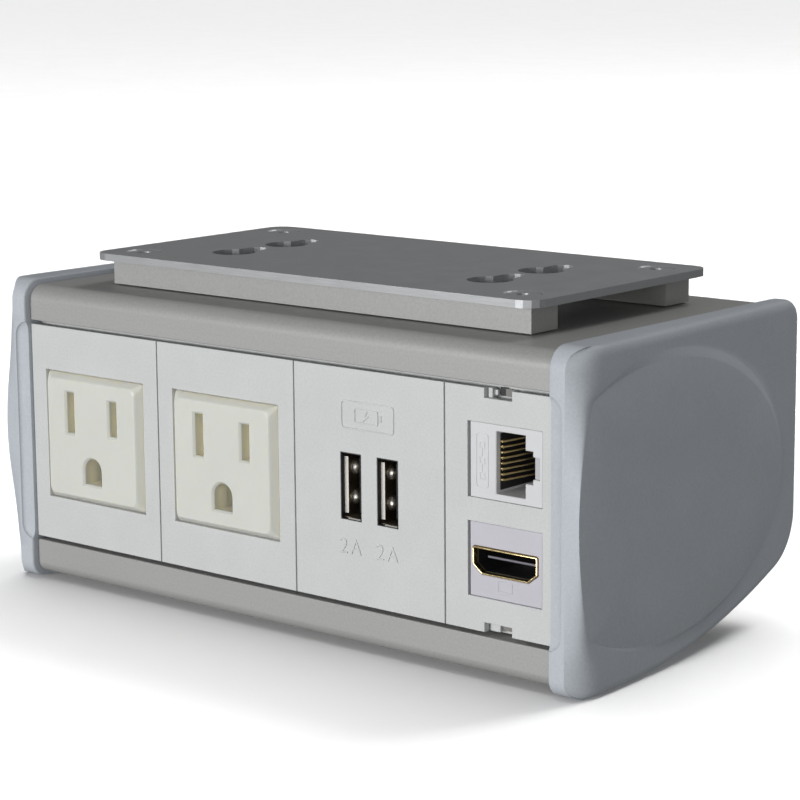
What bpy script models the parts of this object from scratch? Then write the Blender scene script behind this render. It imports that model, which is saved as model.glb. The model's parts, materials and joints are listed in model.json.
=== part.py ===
"""Under-desk power and data strip: an extruded case, two end caps and four snap-in modules.

Run with: blender --background --python part.py

Lengths below are millimetres; the helpers turn them into metres. Inside the strip, x runs to the right
along the module row, y runs back from the modules' face and z runs up, all from the row's centre. The
whole strip hangs from an empty that moves the world's origin to the centre of the mounting plate's top.
"""
import math

import bmesh
import bpy
from mathutils import Matrix, Vector

MM = 0.001
GAP = 0.3                       # kept between pieces that rest on each other

# module row
MODULE_W = 37.5                 # a full module; the data module is two thirds of one
DATA_W = 25.0
MODULE_H = 45.7
ROW_HALF = (3 * MODULE_W + DATA_W) / 2
PLATE_T = 1.6
SOCKET_X = (-ROW_HALF + 0.5 * MODULE_W, -ROW_HALF + 1.5 * MODULE_W)
USB_X = -ROW_HALF + 2.5 * MODULE_W
DATA_X = ROW_HALF - DATA_W / 2

# case, seen from its end: a flat top, front and back over a bellied floor
CASE_FRONT = -1.6               # the end caps stand this far in front of the modules
CASE_REAR = 74.9
CASE_TOP = 32.2
CASE_FLOOR = -32.0
TOP_FRONT_R = 4.5
FLOOR_FRONT_R = 3.5
TOP_REAR_R = 4.0
FLOOR_REAR_R = 12.0
BELLY_R = 148.0                 # long arc that lifts the floor towards the back
BELLY_Y = 12.0                  # where that arc starts
CAP_STEP = 1.2                  # the caps' outline stands proud of the extrusion all round
WALL = 2.0
RAIL_Z = 23.65                  # the rails' edges, above and below the modules
RAIL_LIP = 9.0
RAIL_LIP_T = 1.5
SNAP_Y = (4.6, 6.6)             # groove in the lips that the modules' hooks snap into
SNAP_DEPTH = 0.8

# end caps: a raised plateau, an ellipse cut off by the cap's bowed front edge
CAP_IN = ROW_HALF + 0.17
CAP_RIM = 73.2
CAP_SHOULDER = 73.7
CAP_FACE = 75.3
PLATEAU = (25.0, 0.5, 40.0, 26.5)
SHOULDER = (25.0, 0.5, 47.0, 28.0)
BOW = (62.4, 0.0, 64.0, 64.0)
CAP_CENTRE = (30.0, 0.0)

# receptacles: two blades 12.7 apart and a ground pin 11.9 below them
FACE_WINDOW = (29.0, 27.3)
FACE_PLATE = (28.4, 26.7)
FACE_TOP = (25.5, 24.3)
FACE_PROUD = 1.15
BLADE_X = 6.35
BLADE_Z = 5.3
NEUTRAL_SLOT = (2.1, 8.6)
HOT_SLOT = (1.95, 7.2)
GROUND_W = 5.0
GROUND_Z = (-9.3, -3.8)
FACE_BACK = 3.2
HOUSING_Y = (3.5, 27.0)
HOUSING_SIZE = (28.0, 26.4)
HOUSING_WALL = 1.2
PARTITION_Y = (7.0, 8.0)
SHUTTER_Y = (3.8, 6.6)
SHUTTER_TRAVEL = 3.0
BUS_Y = (31.3, 32.1)

# sockets of the charging and data modules
USB_PITCH = 9.16
USB_CENTRE = 0.25
USB_WINDOW = (5.2, 13.1)
JACK_X = 1.49                   # the two data windows sit this far right of the module's middle
JACK_WINDOW = (17.1, 14.1)
JACK_Z = 9.3
NOTCH = (6.35, 1.85)
CONTACT_PITCH = 1.02

# back and top
INLET = (-35.0, 9.0)
GROMMET = (40.0, 9.0)
PLATE_TOP = 38.0
PLATE_MIDDLE_Y = 37.0
BAR_Y = (15.5, 58.5)            # the two spacer bars between the case and the mounting plate
SCREW_AT = [(x, y) for y in BAR_Y for x in (-50.0, 50.0)]

COLOURS = {
    "cap_paint": ((0.56, 0.59, 0.62), 0.42, 0.0),
    "anodised": ((0.36, 0.36, 0.35), 0.38, 0.85),
    "module_grey": ((0.61, 0.63, 0.63), 0.45, 0.0),
    "socket_cream": ((0.73, 0.72, 0.61), 0.38, 0.0),
    "shutter_tan": ((0.50, 0.43, 0.27), 0.5, 0.0),
    "jack_white": ((0.72, 0.72, 0.75), 0.42, 0.0),
    "jack_lilac": ((0.60, 0.58, 0.68), 0.42, 0.0),
    "black_plastic": ((0.02, 0.02, 0.022), 0.45, 0.0),
    "nickel": ((0.62, 0.60, 0.57), 0.25, 1.0),
    "gold": ((0.83, 0.62, 0.27), 0.25, 1.0),
    "brass": ((0.72, 0.52, 0.24), 0.32, 1.0),
    "zinc_steel": ((0.55, 0.56, 0.57), 0.35, 1.0),
    "board_green": ((0.03, 0.16, 0.07), 0.5, 0.0),
    "rubber": ((0.03, 0.03, 0.03), 0.75, 0.0),
    "wire_brown": ((0.20, 0.06, 0.02), 0.45, 0.0),
    "wire_blue": ((0.03, 0.12, 0.42), 0.45, 0.0),
    "wire_green": ((0.06, 0.33, 0.08), 0.45, 0.0),
}


# ---------------------------------------------------------------- scene and shape helpers

def clear_scene():
    for thing in list(bpy.data.objects):
        bpy.data.objects.remove(thing, do_unlink=True)


def make_material(name):
    colour, roughness, metallic = COLOURS[name]
    material = bpy.data.materials.new(name)
    material.use_nodes = True
    shader = material.node_tree.nodes["Principled BSDF"]
    shader.inputs["Base Color"].default_value = (*colour, 1.0)
    shader.inputs["Roughness"].default_value = roughness
    shader.inputs["Metallic"].default_value = metallic
    return material


def place(obj, mat):
    """Link an object to the part, or to the cutters when it has no material, and hang it on the root."""
    if mat is None:
        CUTTERS.objects.link(obj)
        obj.hide_render = True
        obj.display_type = "WIRE"
    else:
        PART.objects.link(obj)
        obj.data.materials.append(MATERIALS[mat])
    obj.parent = ROOT
    return obj


def mesh_object(name, bm, mat, at=(0, 0, 0)):
    bmesh.ops.recalc_face_normals(bm, faces=bm.faces[:])
    mesh = bpy.data.meshes.new(name)
    bm.to_mesh(mesh)
    bm.free()
    obj = bpy.data.objects.new(name, mesh)
    obj.location = Vector(at) * MM
    return place(obj, mat)


def box(name, low, high, mat=None):
    size = [(b - a) * MM for a, b in zip(low, high)]
    bm = bmesh.new()
    bmesh.ops.create_cube(bm, size=1.0, matrix=Matrix.Diagonal((*size, 1.0)))
    return mesh_object(name, bm, mat, [(a + b) / 2 for a, b in zip(low, high)])


AXIS_FRAMES = {
    "X": Matrix(((0, 0, 1, 0), (1, 0, 0, 0), (0, 1, 0, 0), (0, 0, 0, 1))),
    "Y": Matrix(((1, 0, 0, 0), (0, 0, -1, 0), (0, 1, 0, 0), (0, 0, 0, 1))),
    "Z": Matrix.Identity(4),
}


def rod(name, axis, at, radius, length, mat=None, far_radius=None, sides=20):
    """A cylinder, or a cone frustum, centred at a point and lying along an axis."""
    bm = bmesh.new()
    far = radius if far_radius is None else far_radius
    bmesh.ops.create_cone(bm, cap_ends=True, segments=sides, radius1=radius * MM, radius2=far * MM,
                          depth=length * MM, matrix=AXIS_FRAMES[axis])
    return mesh_object(name, bm, mat, at)


def curve_mesh(curve, name, mat, matrix):
    """Turn a curve into a closed mesh object that stands where the curve stood."""
    guide = bpy.data.objects.new(name + "_curve", curve)
    bpy.context.scene.collection.objects.link(guide)
    graph = bpy.context.evaluated_depsgraph_get()
    mesh = bpy.data.meshes.new_from_object(guide.evaluated_get(graph))
    bpy.data.objects.remove(guide)
    bpy.data.curves.remove(curve)
    bm = bmesh.new()
    bm.from_mesh(mesh)
    bmesh.ops.remove_doubles(bm, verts=bm.verts[:], dist=0.000002)
    bm.to_mesh(mesh)
    bm.free()
    mesh.name = name
    obj = bpy.data.objects.new(name, mesh)
    obj.matrix_basis = matrix
    return place(obj, mat)


def prism(name, axis, loops, start, end, mat=None):
    """Extrude flat outlines along an axis. Loops are (y, z) for X, (x, z) for Y and (x, y) for Z."""
    curve = bpy.data.curves.new(name, "CURVE")
    curve.dimensions = "2D"
    curve.fill_mode = "BOTH"
    curve.extrude = abs(end - start) / 2 * MM
    for loop in loops:
        spline = curve.splines.new("POLY")
        spline.points.add(len(loop) - 1)
        for point, (a, b) in zip(spline.points, loop):
            point.co = (a * MM, b * MM, 0.0, 1.0)
        spline.use_cyclic_u = True
    middle = {"X": (1, 0, 0), "Y": (0, 1, 0), "Z": (0, 0, 1)}[axis]
    shift = Matrix.Translation(Vector(middle) * (start + end) / 2 * MM)
    return curve_mesh(curve, name, mat, shift @ AXIS_FRAMES[axis])


def tube(name, points, radius, mat):
    curve = bpy.data.curves.new(name, "CURVE")
    curve.dimensions = "3D"
    curve.bevel_depth = radius * MM
    curve.bevel_resolution = 2
    curve.use_fill_caps = True
    spline = curve.splines.new("POLY")
    spline.points.add(len(points) - 1)
    for point, co in zip(spline.points, points):
        point.co = (*(c * MM for c in co), 1.0)
    return curve_mesh(curve, name, mat, Matrix.Identity(4))


def turned(name, at, axis_turn, profile, mat, steps=20):
    """Turn a profile of (radius, height) pairs, listed from the top down, round its own Z axis."""
    bm = bmesh.new()
    verts = [bm.verts.new((r * MM, 0.0, h * MM)) for r, h in profile]
    for a, b in zip(verts, verts[1:]):
        bm.edges.new((a, b))
    mesh = bpy.data.meshes.new(name)
    bm.to_mesh(mesh)
    bm.free()
    obj = bpy.data.objects.new(name, mesh)
    obj.location = Vector(at) * MM
    obj.rotation_euler = axis_turn
    place(obj, mat)
    screw = obj.modifiers.new("turn", "SCREW")
    screw.steps = screw.render_steps = steps
    screw.use_merge_vertices = True
    screw.merge_threshold = 0.00001
    return obj


def boolean(obj, tool, operation):
    step = obj.modifiers.new(tool.name, "BOOLEAN")
    step.operation = operation
    step.object = tool
    step.solver = "EXACT"


def cut(obj, *tools):
    for tool in tools:
        boolean(obj, tool, "DIFFERENCE")


def join(obj, *tools):
    for tool in tools:
        boolean(obj, tool, "UNION")


def round_edges(obj, width, segments=2, angle=math.radians(40)):
    bevel = obj.modifiers.new("round", "BEVEL")
    bevel.width = width * MM
    bevel.segments = segments
    bevel.limit_method = "ANGLE"
    bevel.angle_limit = angle


# ---------------------------------------------------------------- outlines

def arc(centre, radius, start, end, steps):
    """Points on an arc, angles in degrees, both ends included."""
    angles = [math.radians(start + (end - start) * i / steps) for i in range(steps + 1)]
    return [(centre[0] + radius * math.cos(a), centre[1] + radius * math.sin(a)) for a in angles]


def between(a, b, steps):
    """Points strictly between two ends of a straight run."""
    return [tuple(p + (q - p) * i / steps for p, q in zip(a, b)) for i in range(1, steps)]


def rectangle(cx, cz, w, h):
    left, right, low, high = cx - w / 2, cx + w / 2, cz - h / 2, cz + h / 2
    return [(left, low), (right, low), (right, high), (left, high)]


def circle(cx, cz, radius, steps=20):
    return arc((cx, cz), radius, 0, 360, steps)[:-1]


def case_outline(inset, front, runs=1):
    """The case's end view as (y, z), moved inwards by inset, with its front at a given y."""
    top, rear, floor = CASE_TOP - inset, CASE_REAR - inset, CASE_FLOOR + inset
    front_low = max(FLOOR_FRONT_R - inset, GAP)
    front_high = max(TOP_FRONT_R - inset, GAP)
    rear_high = max(TOP_REAR_R - inset, GAP)
    belly = (BELLY_Y, CASE_FLOOR + BELLY_R)
    corner_y = CASE_REAR - FLOOR_REAR_R
    corner_z = belly[1] - math.sqrt((BELLY_R - FLOOR_REAR_R) ** 2 - (corner_y - BELLY_Y) ** 2)
    lift = math.degrees(math.atan2(corner_z - belly[1], corner_y - BELLY_Y))
    low = arc((front + front_low, floor + front_low), front_low, 180, 270, 4)
    long_floor = arc(belly, BELLY_R - inset, -90, lift, 8)
    back = arc((corner_y, corner_z), FLOOR_REAR_R - inset, lift, 0, 6)[1:]
    high_back = arc((rear - rear_high, top - rear_high), rear_high, 0, 90, 3)
    high = arc((front + front_high, top - front_high), front_high, 90, 180, 5)
    points = low + between(low[-1], long_floor[0], runs) + long_floor + back
    points += between(back[-1], high_back[0], 2 * runs) + high_back
    points += between(high_back[-1], high[0], 4 * runs) + high
    return points + between(high[-1], low[0], 6 * runs)


def ellipse_reach(shape, angle):
    """How far an ellipse reaches from the caps' centre in one direction."""
    cy, cz, a, b = shape
    dy, dz = math.cos(angle) / a, math.sin(angle) / b
    oy, oz = (CAP_CENTRE[0] - cy) / a, (CAP_CENTRE[1] - cz) / b
    square, half, rest = dy * dy + dz * dz, oy * dy + oz * dz, oy * oy + oz * oz - 1.0
    return (-half + math.sqrt(half * half - square * rest)) / square


# ---------------------------------------------------------------- case and end caps

def build_extrusion():
    outer = case_outline(CAP_STEP, 0.0)
    inner = case_outline(CAP_STEP + WALL, WALL)
    outer_open = outer[:-5]
    inner_open = inner[:-5]
    lip = [(0.0, RAIL_Z), (SNAP_Y[0], RAIL_Z), (SNAP_Y[0], RAIL_Z + SNAP_DEPTH),
           (SNAP_Y[1], RAIL_Z + SNAP_DEPTH), (SNAP_Y[1], RAIL_Z), (RAIL_LIP, RAIL_Z),
           (RAIL_LIP, RAIL_Z + RAIL_LIP_T), (WALL, RAIL_Z + RAIL_LIP_T)]
    lower_lip = [(y, -z) for y, z in reversed(lip)]
    profile = outer_open + lip + list(reversed(inner_open)) + lower_lip
    half = ROW_HALF - GAP / 2
    case = prism("body_extrusion", "X", [profile], -half, half, "anodised")
    back = CASE_REAR - CAP_STEP - WALL / 2
    cut(case, box("inlet_cutout", (INLET[0] - 14.0, back - 4, INLET[1] - 10.3),
                  (INLET[0] + 14.0, back + 4, INLET[1] + 10.3)))
    for side in (-1, 1):
        cut(case, rod(f"inlet_screw_hole_{side}", "Y", (INLET[0] + 20.0 * side, back, INLET[1]), 1.9, 8))
    cut(case, rod("grommet_hole", "Y", (GROMMET[0], back, GROMMET[1]), 9.0, 8, sides=24))
    cut(case, rod("earth_hole", "Y", (-8.0, back, INLET[1]), 2.2, 8))
    roof = CASE_TOP - CAP_STEP - WALL / 2
    for i, (x, y) in enumerate(SCREW_AT, 1):
        cut(case, rod(f"roof_hole_{i}", "Z", (x, y, roof), 2.25, 8))


def build_end_cap(name, side):
    """Loft the cap from its inner face, round the rim and up to the raised plateau."""
    perimeter = case_outline(0.0, CASE_FRONT, 2)
    angles = [math.atan2(z - CAP_CENTRE[1], y - CAP_CENTRE[0]) for y, z in perimeter]

    def reach(shape, limit=None):
        ring = []
        for i, angle in enumerate(angles):
            r = ellipse_reach(shape, angle)
            r = min(r, ellipse_reach(BOW, angle)) if limit is None else r
            if limit is not None:
                r = min(r, math.dist(limit[i], CAP_CENTRE))
            ring.append((CAP_CENTRE[0] + r * math.cos(angle), CAP_CENTRE[1] + r * math.sin(angle)))
        return ring

    rim = case_outline(1.4, CASE_FRONT + 0.05, 2)
    rings = [
        (CAP_IN, case_outline(0.7, CASE_FRONT + 0.8, 2)),
        (CAP_IN + 0.6, case_outline(0.15, CASE_FRONT + 0.15, 2)),
        (CAP_IN + 1.3, perimeter),
        (CAP_RIM - 1.6, perimeter),
        (CAP_RIM - 0.5, case_outline(0.45, CASE_FRONT, 2)),
        (CAP_RIM, rim),
        (CAP_SHOULDER, reach(SHOULDER, case_outline(2.2, CASE_FRONT + 0.15, 2))),
        (CAP_FACE, reach(PLATEAU)),
    ]
    bm = bmesh.new()
    loops = [[bm.verts.new((side * x * MM, y * MM, z * MM)) for y, z in ring] for x, ring in rings]
    count = len(perimeter)
    for low, high in zip(loops, loops[1:]):
        for i in range(count):
            j = (i + 1) % count
            bm.faces.new((low[i], low[j], high[j], high[i]))
    bm.faces.new(loops[0])
    bm.faces.new(loops[-1])
    cap = mesh_object(name, bm, "cap_paint")
    recess_x = sorted((side * (CAP_IN - 1.0), side * 71.9))
    recess = prism(name + "_recess", "X", [rounded_recess()], *recess_x)
    cut(cap, recess)
    for i, (y, z) in enumerate(((5.6, 27.2), (5.6, -27.0), (60.0, 22.0), (55.0, -18.0)), 1):
        x = side * (CAP_IN - 2.5)
        join(cap, rod(f"{name}_peg_{i}", "X", (x, y, z), 1.3 if i < 3 else 3.0, 7.0, sides=12))


def rounded_recess():
    """Shallow recess in a cap's front lip, as tall as the modules: (y, z) in front of the lip's face."""
    return [(-3.0, -23.3), (-0.75, -23.3), (-0.45, -22.6), (-0.45, 22.6), (-0.75, 23.3), (-3.0, 23.3)]


# ---------------------------------------------------------------- module plates

def hook(name, x, side):
    """A snap hook behind a module's top or bottom edge, with its wedge in the rail's groove."""
    root, edge, tip = 21.0, RAIL_Z - 0.35, RAIL_Z + SNAP_DEPTH - 0.3
    shape = [(PLATE_T - 0.4, root), (9.0, root), (9.0, root + 1.4), (6.3, edge), (6.3, tip),
             (5.4, tip), (4.9, edge), (4.9, root + 1.5), (PLATE_T - 0.4, root + 1.5)]
    return prism(name, "X", [[(y, side * z) for y, z in shape]], x - 4.0, x + 4.0)


def module_plate(name, x, width, windows, mat="module_grey", notch=False):
    w, h = width / 2 - GAP / 2, MODULE_H / 2
    outline = [(x - w, -h), (x + w, -h), (x + w, h), (x - w, h)]
    if notch:
        half, deep = NOTCH[0] / 2, h - NOTCH[1]
        outline = [(x - w, -h), (x - half, -h), (x - half, -deep),
                   (x + half, -deep), (x + half, -h), (x + w, -h),
                   (x + w, h), (x + half, h), (x + half, deep), (x - half, deep), (x - half, h), (x - w, h)]
    plate = prism(name, "Y", [outline] + windows, 0.0, PLATE_T, mat)
    reach = width / 2 - 6.5
    spots = (x - reach, x + reach)
    for i, spot in enumerate(spots):
        for side in (-1, 1):
            join(plate, hook(f"{name}_hook_{i}_{side}", spot, side))
    return plate


# ---------------------------------------------------------------- receptacles

def ground_outline(x, grow=0.0):
    """The ground pin's hole: flat below, round above."""
    radius = GROUND_W / 2 + grow
    low, high = GROUND_Z[0] - grow, GROUND_Z[1] + grow
    return [(x - radius, low), (x + radius, low)] + arc((x, high - radius), radius, 0, 180, 10)


def slot_cutters(name, x, start, end, grow=0.0):
    (nw, nh), (hw, hh) = NEUTRAL_SLOT, HOT_SLOT
    return [
        box(name + "_neutral", (x - BLADE_X - nw / 2 - grow, start, BLADE_Z - nh / 2 - grow),
            (x - BLADE_X + nw / 2 + grow, end, BLADE_Z + nh / 2 + grow)),
        box(name + "_hot", (x + BLADE_X - hw / 2 - grow, start, BLADE_Z - hh / 2 - grow),
            (x + BLADE_X + hw / 2 + grow, end, BLADE_Z + hh / 2 + grow)),
        prism(name + "_ground", "Y", [ground_outline(x, grow)], start, end),
    ]


def build_socket_face(n, x):
    """Cream insert: a slab with a smaller, raised front whose border slopes back to the window."""
    bm = bmesh.new()
    rings = [(FACE_BACK, *FACE_PLATE), (0.7, *FACE_PLATE), (-0.6, FACE_TOP[0] + 1.2, FACE_TOP[1] + 1.0),
             (-FACE_PROUD, *FACE_TOP)]
    loops = []
    for y, w, h in rings:
        loops.append([bm.verts.new((a * MM, y * MM, b * MM)) for a, b in rectangle(0, 0, w, h)])
    for low, high in zip(loops, loops[1:]):
        for i in range(4):
            j = (i + 1) % 4
            bm.faces.new((low[i], low[j], high[j], high[i]))
    bm.faces.new(loops[0])
    bm.faces.new(loops[-1])
    face = mesh_object(f"socket_face_{n}", bm, "socket_cream", (x, 0, 0))
    cut(face, *slot_cutters(f"face_slots_{n}", x, -3.0, 5.0))


def build_socket_housing(n, x):
    (w, h), (front, back), t = HOUSING_SIZE, HOUSING_Y, HOUSING_WALL
    name = f"socket_housing_{n}"
    housing = box(name, (x - w / 2, front, -h / 2), (x + w / 2, back, h / 2), "black_plastic")
    cut(housing, box(name + "_shutter_room", (x - w / 2 + t, front - 1, -h / 2 + t),
                     (x + w / 2 - t, PARTITION_Y[0], h / 2 - t)))
    cut(housing, box(name + "_contact_room", (x - w / 2 + t, PARTITION_Y[1], -h / 2 + t),
                     (x + w / 2 - t, back - t, h / 2 - t)))
    cut(housing, *slot_cutters(name + "_slots", x, PARTITION_Y[0] - 1, PARTITION_Y[1] + 1, 0.2))
    for dx, z, half_z in ((BLADE_X, 8.5, 1.3), (-BLADE_X, 2.5, 1.3), (0.0, -6.5, 1.5)):
        cut(housing, box(f"{name}_tail_{int(z)}", (x + dx - 0.7, back - t - 1, z - half_z - GAP),
                         (x + dx + 0.7, back + 1, z + half_z + GAP)))


def build_contact(name, x, z_low, z_high, opening, tail_z, tail_half, leaf_y=(9.0, 20.0)):
    """A sprung clip: two leaves either side of the blade, a bridge behind them and a terminal tail."""
    front, bridge = leaf_y
    inner, outer, lead = opening / 2, opening / 2 + 0.5, opening / 2 + 0.9
    clip = [(-inner, bridge - 0.5), (-inner, front + 1.2), (-lead, front), (-lead - 0.5, front + 0.2),
            (-outer, front + 1.4), (-outer, bridge), (outer, bridge), (outer, front + 1.4),
            (lead + 0.5, front + 0.2), (lead, front), (inner, front + 1.2), (inner, bridge - 0.5)]
    contact = prism(name, "Z", [[(x + a, b) for a, b in clip]], z_low, z_high, "brass")
    join(contact, box(name + "_tail", (x - 0.35, bridge - 0.3, tail_z - tail_half),
                      (x + 0.35, BUS_Y[0] - GAP, tail_z + tail_half)))


def build_shutter(n, x):
    """Sliding shutter: it covers both blade slots until two blades push it aside together."""
    left, right, low, high = x - 12.2, x + 8.9, 0.4, 10.6
    leg_low, leg_right = -2.6, x + 2.7
    outline = [(left, leg_low), (leg_right, leg_low), (leg_right, low),
               (right, low), (right, high), (left, high)]
    windows = []
    for centre, (w, h) in ((-BLADE_X, NEUTRAL_SLOT), (BLADE_X, HOT_SLOT)):
        windows.append(rectangle(x + centre - SHUTTER_TRAVEL, BLADE_Z, w + 0.4, h + 0.4))
    prism(f"shutter_{n}", "Y", [outline] + windows, *SHUTTER_Y, "shutter_tan")


def build_shutter_spring(n, x):
    start, end, radius, turns, steps = x + 3.2, x + 12.4, 1.1, 4, 10
    points = [(start + (end - start) * i / (turns * steps),
               5.2 + radius * math.cos(2 * math.pi * i / steps),
               -1.4 + radius * math.sin(2 * math.pi * i / steps)) for i in range(turns * steps + 1)]
    tube(f"shutter_spring_{n}", points, 0.22, "zinc_steel")


def build_receptacle(n, x):
    module_plate(f"socket_frame_{n}", x, MODULE_W, [rectangle(x, 0, *FACE_WINDOW)])
    build_socket_face(n, x)
    build_socket_housing(n, x)
    build_shutter(n, x)
    build_shutter_spring(n, x)
    build_contact(f"hot_contact_{n}", x + BLADE_X, 2.5, 9.5, 1.4, 8.5, 1.0)
    build_contact(f"neutral_contact_{n}", x - BLADE_X, 1.5, 9.0, 1.4, 2.5, 1.0)
    build_contact(f"ground_contact_{n}", x, -9.0, -4.5, 4.6, -6.5, 1.2)


# ---------------------------------------------------------------- charging module

def build_usb_module():
    middle = USB_X + USB_CENTRE
    ports = (middle - USB_PITCH / 2, middle + USB_PITCH / 2)
    plate = module_plate("usb_frame", USB_X, MODULE_W, [rectangle(x, 0, *USB_WINDOW) for x in ports])
    for n, x in enumerate(ports, 1):
        cut(plate, box(f"usb_relief_{n}", (x - 3.5, 0.8, -7.6), (x + 3.5, PLATE_T + 1, 7.6)))
        shell = prism(f"usb_shell_{n}", "Y", [rectangle(x, 0, 5.8, 13.2), rectangle(x, 0, 5.14, 12.5)],
                      1.1, 15.6, "nickel")
        cut(shell, box(f"usb_shell_{n}_pins", (x + 2.0, 12.0, -3.0), (x + 3.6, 17.0, 3.0)))
        tongue = box(f"usb_tongue_{n}", (x, 2.4, -5.55), (x + 1.8, 13.0, 5.55), "black_plastic")
        join(tongue, box(f"usb_tongue_{n}_base", (x - 2.2, 12.4, -5.9), (x + 2.2, 15.4, 5.9)))
    box("usb_board", (USB_X - 15.5, 16.2, -19.5), (USB_X + 15.5, 17.8, 19.5), "board_green")
    low, high = (USB_X - 11.0, 18.1, -14.0), (USB_X + 4.0, 31.0, 2.0)
    transformer = box("usb_transformer", low, high, "black_plastic")
    round_edges(transformer, 1.2)
    capacitor = rod("usb_capacitor", "Y", (USB_X + 9.0, 25.5, -8.0), 4.0, 14.6, "black_plastic")
    round_edges(capacitor, 0.6)


# ---------------------------------------------------------------- data module

def build_data_module():
    x = DATA_X + JACK_X
    windows = [rectangle(x, side * JACK_Z, *JACK_WINDOW) for side in (-1, 1)]
    module_plate("data_frame", DATA_X, DATA_W, windows, notch=True)
    build_rj45(x)
    build_hdmi(x)


def build_rj45(x):
    """Keystone network jack lying on its side: contacts on the left, latch steps on the right."""
    left, right = x - JACK_WINDOW[0] / 2 + 0.4, x + JACK_WINDOW[0] / 2 - GAP
    z = JACK_Z
    jack = box("rj45_jack", (left, 0.25, z - 6.75), (right, 13.5, z + 6.75), "jack_white")
    mouth = x - 2.08
    steps = [(mouth, z - 5.8), (mouth + 6.66, z - 5.8), (mouth + 6.66, z - 3.1), (mouth + 8.63, z - 3.1),
             (mouth + 8.63, z - 2.1), (mouth + 9.9, z - 2.1), (mouth + 9.9, z + 2.0), (mouth + 8.63, z + 2.0),
             (mouth + 8.63, z + 3.0), (mouth + 6.66, z + 3.0), (mouth + 6.66, z + 5.8), (mouth, z + 5.8)]
    cut(jack, prism("rj45_mouth", "Y", [steps], -2.0, 12.5))
    join(jack, box("rj45_back", (left + 1.0, 13.0, z - 6.2), (right - 1.5, 24.0, z + 6.2)))
    build_rj45_contacts(mouth, z)
    cap = box("rj45_rear_cap", (left + 0.6, 24.3, z - 6.6), (right - 1.1, 31.0, z + 6.6), "jack_white")
    for i in range(4):
        low = z - 4.9 + 2.8 * i
        cut(cap, box(f"rj45_wire_slot_{i}", (left - 1, 26.5, low), (right, 33.0, low + 1.0)))


def build_rj45_contacts(mouth, z):
    """Eight spring wires on one carrier, running back at a small angle from the left wall."""
    length, half = 10.2, 0.2
    outline = [(length, z - 3.9), (length, z + 3.9), (length - 0.6, z + 3.9)]
    for i in range(8):
        middle = z + 3.5 * CONTACT_PITCH - i * CONTACT_PITCH
        outline += [(length - 0.6, middle + half), (0.0, middle + half), (0.0, middle - half),
                    (length - 0.6, middle - half)]
    outline += [(length - 0.6, z - 3.9)]
    comb = prism("rj45_contacts", "X", [outline], 0.0, 0.3, "gold")
    lean = Matrix.Rotation(math.radians(-8.0), 4, "Z")
    comb.matrix_basis = Matrix.Translation(Vector((mouth + 0.35, 1.6, 0)) * MM) @ lean @ comb.matrix_basis


def hdmi_outline(x, z, grow=0.0):
    """The connector's outline: square shoulders above, tapered sides below."""
    top, shoulder, bottom, wide, narrow = 2.4, -1.05, -2.7, 7.45, 5.3
    return [(x - narrow - grow, z + bottom - grow), (x + narrow + grow, z + bottom - grow),
            (x + wide + grow, z + shoulder - grow / 2), (x + wide + grow, z + top + grow),
            (x - wide - grow, z + top + grow), (x - wide - grow, z + shoulder - grow / 2)]


def build_hdmi(x):
    left, right = x - JACK_WINDOW[0] / 2 + 0.4, x + JACK_WINDOW[0] / 2 - GAP
    z = -JACK_Z
    coupler = box("hdmi_coupler", (left, 0.25, z - 6.75), (right, 34.0, z + 6.75), "jack_lilac")
    cut(coupler, prism("hdmi_hole", "Y", [hdmi_outline(x, z, GAP)], -2.0, 12.0))
    prism("hdmi_shell", "Y", [hdmi_outline(x, z), hdmi_outline(x, z, -0.35)], -0.15, 11.6, "gold")
    box("hdmi_tongue", (x - 6.0, 1.6, z - 0.4), (x + 6.0, 11.6, z + 0.8), "black_plastic")


# ---------------------------------------------------------------- inlet, grommet, wiring

def build_inlet():
    """Three-pin mains inlet let into the back wall, with its flange outside."""
    x, z = INLET
    wall = CASE_REAR - CAP_STEP
    outline = [(x - 24.5, z), (x - 22.0, z - 6.0), (x - 14.5, z - 11.2), (x + 14.5, z - 11.2),
               (x + 22.0, z - 6.0), (x + 24.5, z), (x + 22.0, z + 6.0), (x + 14.5, z + 11.2),
               (x - 14.5, z + 11.2), (x - 22.0, z + 6.0)]
    housing = prism("inlet_housing", "Y", [outline], wall + GAP, wall + 2.6, "black_plastic")
    join(housing, box("inlet_body", (x - 13.7, wall - 20.0, z - 10.0), (x + 13.7, wall + 1.0, z + 10.0)))
    recess = [(x - 12.0, z - 8.2), (x + 12.0, z - 8.2), (x + 12.0, z + 4.0), (x + 8.0, z + 8.2),
              (x - 8.0, z + 8.2), (x - 12.0, z + 4.0)]
    cut(housing, prism("inlet_recess", "Y", [recess], wall - 16.0, wall + 5.0))
    for side in (-1, 1):
        spot = (x + 20.0 * side, wall + 1.0, z)
        cut(housing, rod(f"inlet_flange_hole_{side}", "Y", spot, 1.9, 8))
        turned(f"inlet_screw_{(side + 3) // 2}", (spot[0], wall + 4.6, z), (-math.pi / 2, 0, 0),
               [(0, -0.6), (0.8, -0.6), (1.0, 0.0), (2.2, -0.2), (3.0, -0.9), (3.1, -1.7),
                (1.5, -1.7), (1.5, -9.0), (0, -9.0)], "zinc_steel")
    for name, dx, dz in (("line", 7.0, -2.0), ("neutral", -7.0, -2.0), ("earth", 0.0, 2.0)):
        cut(housing, box(f"inlet_pin_slot_{name}", (x + dx - 1.3, wall - 21.0, z + dz - 2.3),
                         (x + dx + 1.3, wall - 15.0, z + dz + 2.3)))
        pin = box(f"inlet_pin_{name}", (x + dx - 1.0, wall - 25.0, z + dz - 2.0),
                  (x + dx + 1.0, wall - 2.5, z + dz + 2.0), "nickel")
        round_edges(pin, 0.35, 1)


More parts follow.
